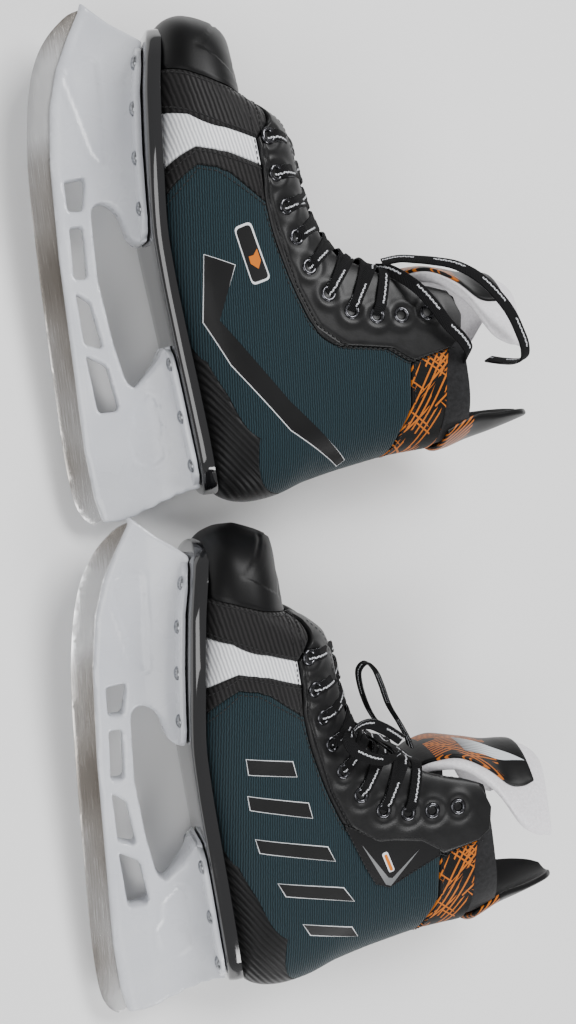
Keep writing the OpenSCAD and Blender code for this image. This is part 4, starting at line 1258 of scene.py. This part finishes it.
TONGUE_MATERIAL = {"left": tongue_material(False), "right": tongue_material(True)}
FELT_MATERIAL = cloth_material("white_felt", (0.70, 0.68, 0.71), (0.90, 0.88, 0.91), 600, 0.6, 0.95, 0.3)
for side in SIDES:
    cover = wing_solid(side + "_leather_tongue", TONGUE, 0, 2.4, side, 130, 60, 0.6)
    front_map(cover, side)
    cover.data.materials.append(TONGUE_MATERIAL[side])
    felt = wing_solid(side + "_felt_tongue", FELT, 2.5, 8.4, side, 140, 60, 2.0)
    felt.data.materials.append(FELT_MATERIAL)
    for piece, slot in ((cover, "tongue_leather"), (felt, "tongue_felt")):
        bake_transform(piece)
    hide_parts(side + "_tongue_base", side + "_tongue_skin")
    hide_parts(side + "_tongue_felt")

# ---------------------------------------------------------------- laced run
# The lace runs up the throat in crossing passes, down through one eyelet and up to the next.


def eyelet_pass(i, sign):
    """A pass from an eyelet on one side over the tongue to the next eyelet on the other."""
    g = fan_of(np.array(EYELETS, float))
    a, b = g[i], g[i + 1]
    # passes that start on the lower flank run over the others
    lift = 3.0 if sign > 0 else 5.2
    in_hole = 1.0

    def on(f, v, d, s):
        p = shell_at(np.array([f]), np.array([v]), np.array([float(d)]))[0]
        return p * (1, s, 1)
    middle = shell(np.array([(a[0] + b[0]) / 2]), np.array([1.0]))[0]
    out = np.array([middle[0] - PIVOT[0], 0, middle[2] - PIVOT[1]])
    centre = np.array([middle[0], 0, middle[2]]) - out / np.linalg.norm(out) * lift
    start = on(a[0], a[1], in_hole, sign)

    def over(p, s):
        return on(p[0], p[1], 4.6, s) * 0.55 + on(p[0], 0.5 * p[1] + 0.5, 4.8, s) * 0.45

    def at_edge(p, q, s):
        return on(p[0] * 0.85 + q[0] * 0.15, 0.985, 4.2, s)
    first, last = at_edge(a, b, sign), at_edge(b, a, -sign)
    finish = on(b[0], b[1], in_hole, -sign)
    return [start, over(a, sign), first, (first + centre) / 2, centre, (last + centre) / 2, last,
            over(b, -sign), finish]


for side in SIDES:
    routes = []
    for i in range(7):
        way = np.array([EYELETS[i + 1][0] - EYELETS[i][0], 0, EYELETS[i + 1][1] - EYELETS[i][1]], float)
        for sign in (1, -1):
            routes.append((eyelet_pass(i, sign), way / np.linalg.norm(way)))
    laced, _ = lace_mesh(side + "_laced_run", routes, side, 1.2)
    give(laced, LACE, side, "lace_crossings")

# ---------------------------------------------------------------- seams
# Lockstitch thread along the edges of the sewn panels.
STITCH_FORM = ((-0.5, 0.35), (-0.25, 0.95), (0.25, 0.95), (0.5, 0.35))
THREAD_DARK = cloth_material("dark_thread", (0.003, 0.003, 0.0033), (0.010, 0.010, 0.011), 2500, 0.4, 0.6)
THREAD_LIGHT = cloth_material("grey_thread", (0.03, 0.03, 0.031), (0.07, 0.07, 0.072), 2500, 0.4, 0.6)
DARK_SEAMS = [(STAY_EDGE, (0, 2.6), 2.1), (STAY_EDGE, (0, -2.2), 1.9), (BAND_EDGE, (2.0, 0), 1.9),
              (FLASH_EDGE, (-2.0, 0), 1.9), (QUARTER_EDGE, (-2.2, 0), 1.9), (CAP_EDGE, (-2.4, 0), 1.9),
              (CUFF_FOOT, (0, 2.0), 1.9)]


def stitch_points(points, pitch):
    points = np.asarray(points, float)
    steps = np.linalg.norm(np.diff(points, axis=0), axis=1)
    s = np.concatenate([[0], np.cumsum(steps)])
    places = np.arange(pitch * 0.5, s[-1], pitch)
    return np.stack([np.interp(places, s, points[:, k]) for k in range(3)], 1), s, places


def stitches(name, runs, side, pitch=3.0, length=2.1, width=0.75):
    """Rows of thread stitches: each run is a list of skate-frame points and their normals."""
    verts, faces = [], []
    ring = 6
    for points, normals in runs:
        points = np.asarray(points, float)
        spots, s, places = stitch_points(points, pitch)
        ways = np.stack([np.interp(places, s, np.gradient(points[:, k], s)) for k in range(3)], 1)
        ups = np.stack([np.interp(places, s, np.asarray(normals)[:, k]) for k in range(3)], 1)
        for spot, way, up in zip(spots, ways, ups):
            way = way / np.linalg.norm(way)
            up = up / np.linalg.norm(up)
            across = np.cross(way, up)
            start = len(verts)
            for along_it, size in STITCH_FORM:
                for k in range(ring):
                    angle = 2 * math.pi * k / ring
                    verts.append(spot + way * length * along_it
                                 + across * width / 2 * size * math.cos(angle)
                                 + up * width / 2 * size * math.sin(angle))
            faces += tube_faces(len(STITCH_FORM), ring, start)
    return mesh_object(name, to_world(np.array(verts), side), faces)


def seam(line, sign, d, inset=(0, 0), count=120):
    """Points and normals on the panel surface along a line seen from the side."""
    t = np.linspace(0, 1, count)
    p = along(np.asarray(line, float) + inset, t)
    g = fan_of(p)
    points = shell_at(g[:, 0], g[:, 1], np.full(count, float(d)))
    normals = shell_normal(g[:, 0], g[:, 1])
    return on_flank(sign, points, normals)


for side in SIDES:
    dark_runs = [seam(line, sign, d, inset) for sign in (1, -1) for line, inset, d in DARK_SEAMS]
    light_runs = [seam(STAY_TOP[1:-1], sign, 2.6, (0, -2.6)) for sign in (1, -1)]
    give(stitches(side + "_panel_stitching", dark_runs, side), THREAD_DARK, side)
    give(stitches(side + "_throat_stitching", light_runs, side, 3.2), THREAD_LIGHT, side)

# ---------------------------------------------------------------- welded graphics
# Thin films welded on the quarters: a long dark dart on one side, and slanting bars on the other,
# each over a slightly larger white film that shows as an outline. They carry no lettering.
FILM_DARK = satin_material("dark_film", (0.003, 0.003, 0.0033), (0.006, 0.006, 0.0065), 0.45)
FILM_WHITE = satin_material("white_film", (0.62, 0.64, 0.66), (0.75, 0.76, 0.78), 0.4)
FILM_GREY = satin_material("grey_film", (0.12, 0.125, 0.13), (0.22, 0.225, 0.23), 0.4)
FILM_ORANGE = satin_material("orange_film", (0.50, 0.13, 0.008), (0.60, 0.17, 0.012), 0.4)


def grown(outline, by):
    centre = np.mean(np.array(outline), 0)
    p = np.array(outline, float)
    out = []
    for i in range(len(p)):
        a, b, c = p[i - 1], p[i], p[(i + 1) % len(p)]
        e1, e2 = (b - a) / np.linalg.norm(b - a), (c - b) / np.linalg.norm(c - b)
        n = np.array([e1[1] + e2[1], -e1[0] - e2[0]])
        n = n / max(np.linalg.norm(n), 1e-6)
        if (b - centre) @ n < 0:
            n = -n
        out.append(tuple(b + n * by))
    return out


DART = [(1, 87), (-6, 103), (-35, 92), (-84, 127), (-121, 160), (-124, 156), (-100, 126), (-60, 96),
        (-35, 84)]
BARS = [[(8, 90), (2, 116), (-7, 118), (-1, 91)], [(-14, 90), (-24, 124), (-33, 126), (-22, 91)],
        [(-40, 93), (-52, 134), (-61, 138), (-48, 95)], [(-68, 104), (-78, 142), (-87, 148), (-76, 108)],
        [(-95, 117), (-103, 146), (-110, 150), (-102, 121)]]
PATCH = [(-41, 145), (-52.5, 163), (-57, 192), (-64, 203.2), (-69, 202.6), (-82.7, 170.4), (-79, 161.9),
         (-68.5, 156.4)]
CHEVRON = [(-54.5, 154.8), (-80.6, 168), (-82, 171), (-63.5, 190), (-77.5, 172.2), (-76.8, 169.8)]
TAB = rounded([(-62, 166.5), (-74, 170.5), (-73, 174), (-61, 170)], 1.2, 3)
TAB_IN = rounded([(-63, 167.8), (-73, 171.1), (-72.6, 173), (-62.5, 169.6)], 0.8, 3)
BADGE = rounded([(14, 104), (-18, 112), (-15, 123), (17, 114)], 3, 4)
BADGE_IN = rounded([(12.9, 105), (-16.5, 112.3), (-14.1, 121.9), (15.5, 113.3)], 2.5, 4)
BADGE_MARK = [(-2, 111.2), (-6, 112), (-9, 116.3), (-4.6, 118), (2, 116.3), (-1.4, 114)]
# the panels' own height, and the patch's above it
ON_PANEL, ON_PATCH = 1.75, 2.4


def decal(name, side, outline, base, high, cell=2.5):
    """A thin welded film on the uppermost panel, cut to an outline seen from the side."""
    points, faces, rim = cut_sheet([outline], cell)
    g = fan_of(points)
    top = shell_at(g[:, 0], g[:, 1], np.full(len(g), base + high))
    low = shell_at(g[:, 0], g[:, 1], np.full(len(g), float(base)))
    every = two_sided(faces, rim, len(points))
    both = np.concatenate([top, low])
    return mesh_object(name, to_world(both, side), every, both[:, [0, 2]] / MAP_SPAN)


def film(name, side, outline, base, high, material):
    piece = decal(name, side, outline, base, high)
    give(piece, material, side)


film("left_dart_edge", "left", grown(DART, 0.55), ON_PANEL, 0.12, FILM_WHITE)
film("left_dart_film", "left", DART, ON_PANEL, 0.3, FILM_DARK)
film("left_badge_border", "left", BADGE, ON_PANEL, 0.35, FILM_WHITE)
film("left_badge_field", "left", BADGE_IN, ON_PANEL, 0.5, FILM_DARK)
film("left_badge_mark", "left", BADGE_MARK, ON_PANEL, 0.62, FILM_ORANGE)
film("right_ankle_patch", "right", PATCH, ON_PANEL, 0.7, FILM_DARK)
film("right_ankle_chevron", "right", CHEVRON, ON_PATCH, 0.25, FILM_GREY)
film("right_ankle_tab", "right", TAB, ON_PATCH, 0.4, FILM_WHITE)
film("right_ankle_tab_field", "right", TAB_IN, ON_PATCH, 0.55, FILM_ORANGE)
patch_run = [seam(PATCH + [PATCH[0]], 1, 2.5)]
give(stitches("right_patch_stitching", patch_run, "right"), THREAD_DARK, "right")
for k, bar in enumerate(BARS):
    film(f"right_bar_edge_{k}", "right", grown(bar, 0.6), ON_PANEL, 0.12, FILM_WHITE)
    film(f"right_bar_film_{k}", "right", bar, ON_PANEL, 0.3, FILM_DARK)

# ---------------------------------------------------------------- floor and light
# A plain pale floor and soft studio light.
bpy.ops.object.select_all(action="DESELECT")
bpy.ops.mesh.primitive_plane_add(size=6, location=(0, 0, 0))
floor = bpy.context.object
floor.name = "floor"
floor_material, _, _ = plain_material("pale_floor", (0.92, 0.92, 0.92), 0.8, specular=0.2)
floor.data.materials.append(floor_material)
world = bpy.data.worlds.new("studio")
bpy.context.scene.world = world
world.use_nodes = True
world.node_tree.nodes["Background"].inputs["Color"].default_value = (1, 1, 1, 1)
world.node_tree.nodes["Background"].inputs["Strength"].default_value = 0.42


def soft_box(name, place, aim, size, power):
    data = bpy.data.lights.new(name, "AREA")
    data.energy = power
    data.shape = "RECTANGLE"
    data.size, data.size_y = size
    lamp = bpy.data.objects.new(name, data)
    bpy.context.scene.collection.objects.link(lamp)
    way = Vector(aim) - Vector(place)
    lamp.matrix_world = Matrix.Translation(place) @ way.to_track_quat("-Z", "Y").to_matrix().to_4x4()


soft_box("key", (0.5, 0.7, 1.3), (0, 0, 0), (0.9, 0.6), 24)
soft_box("fill", (-0.9, -0.3, 1.0), (0, 0, 0.05), (0.8, 0.8), 8)
soft_box("rim", (0.2, -1.1, 0.8), (0, 0, 0.05), (0.8, 0.3), 9)
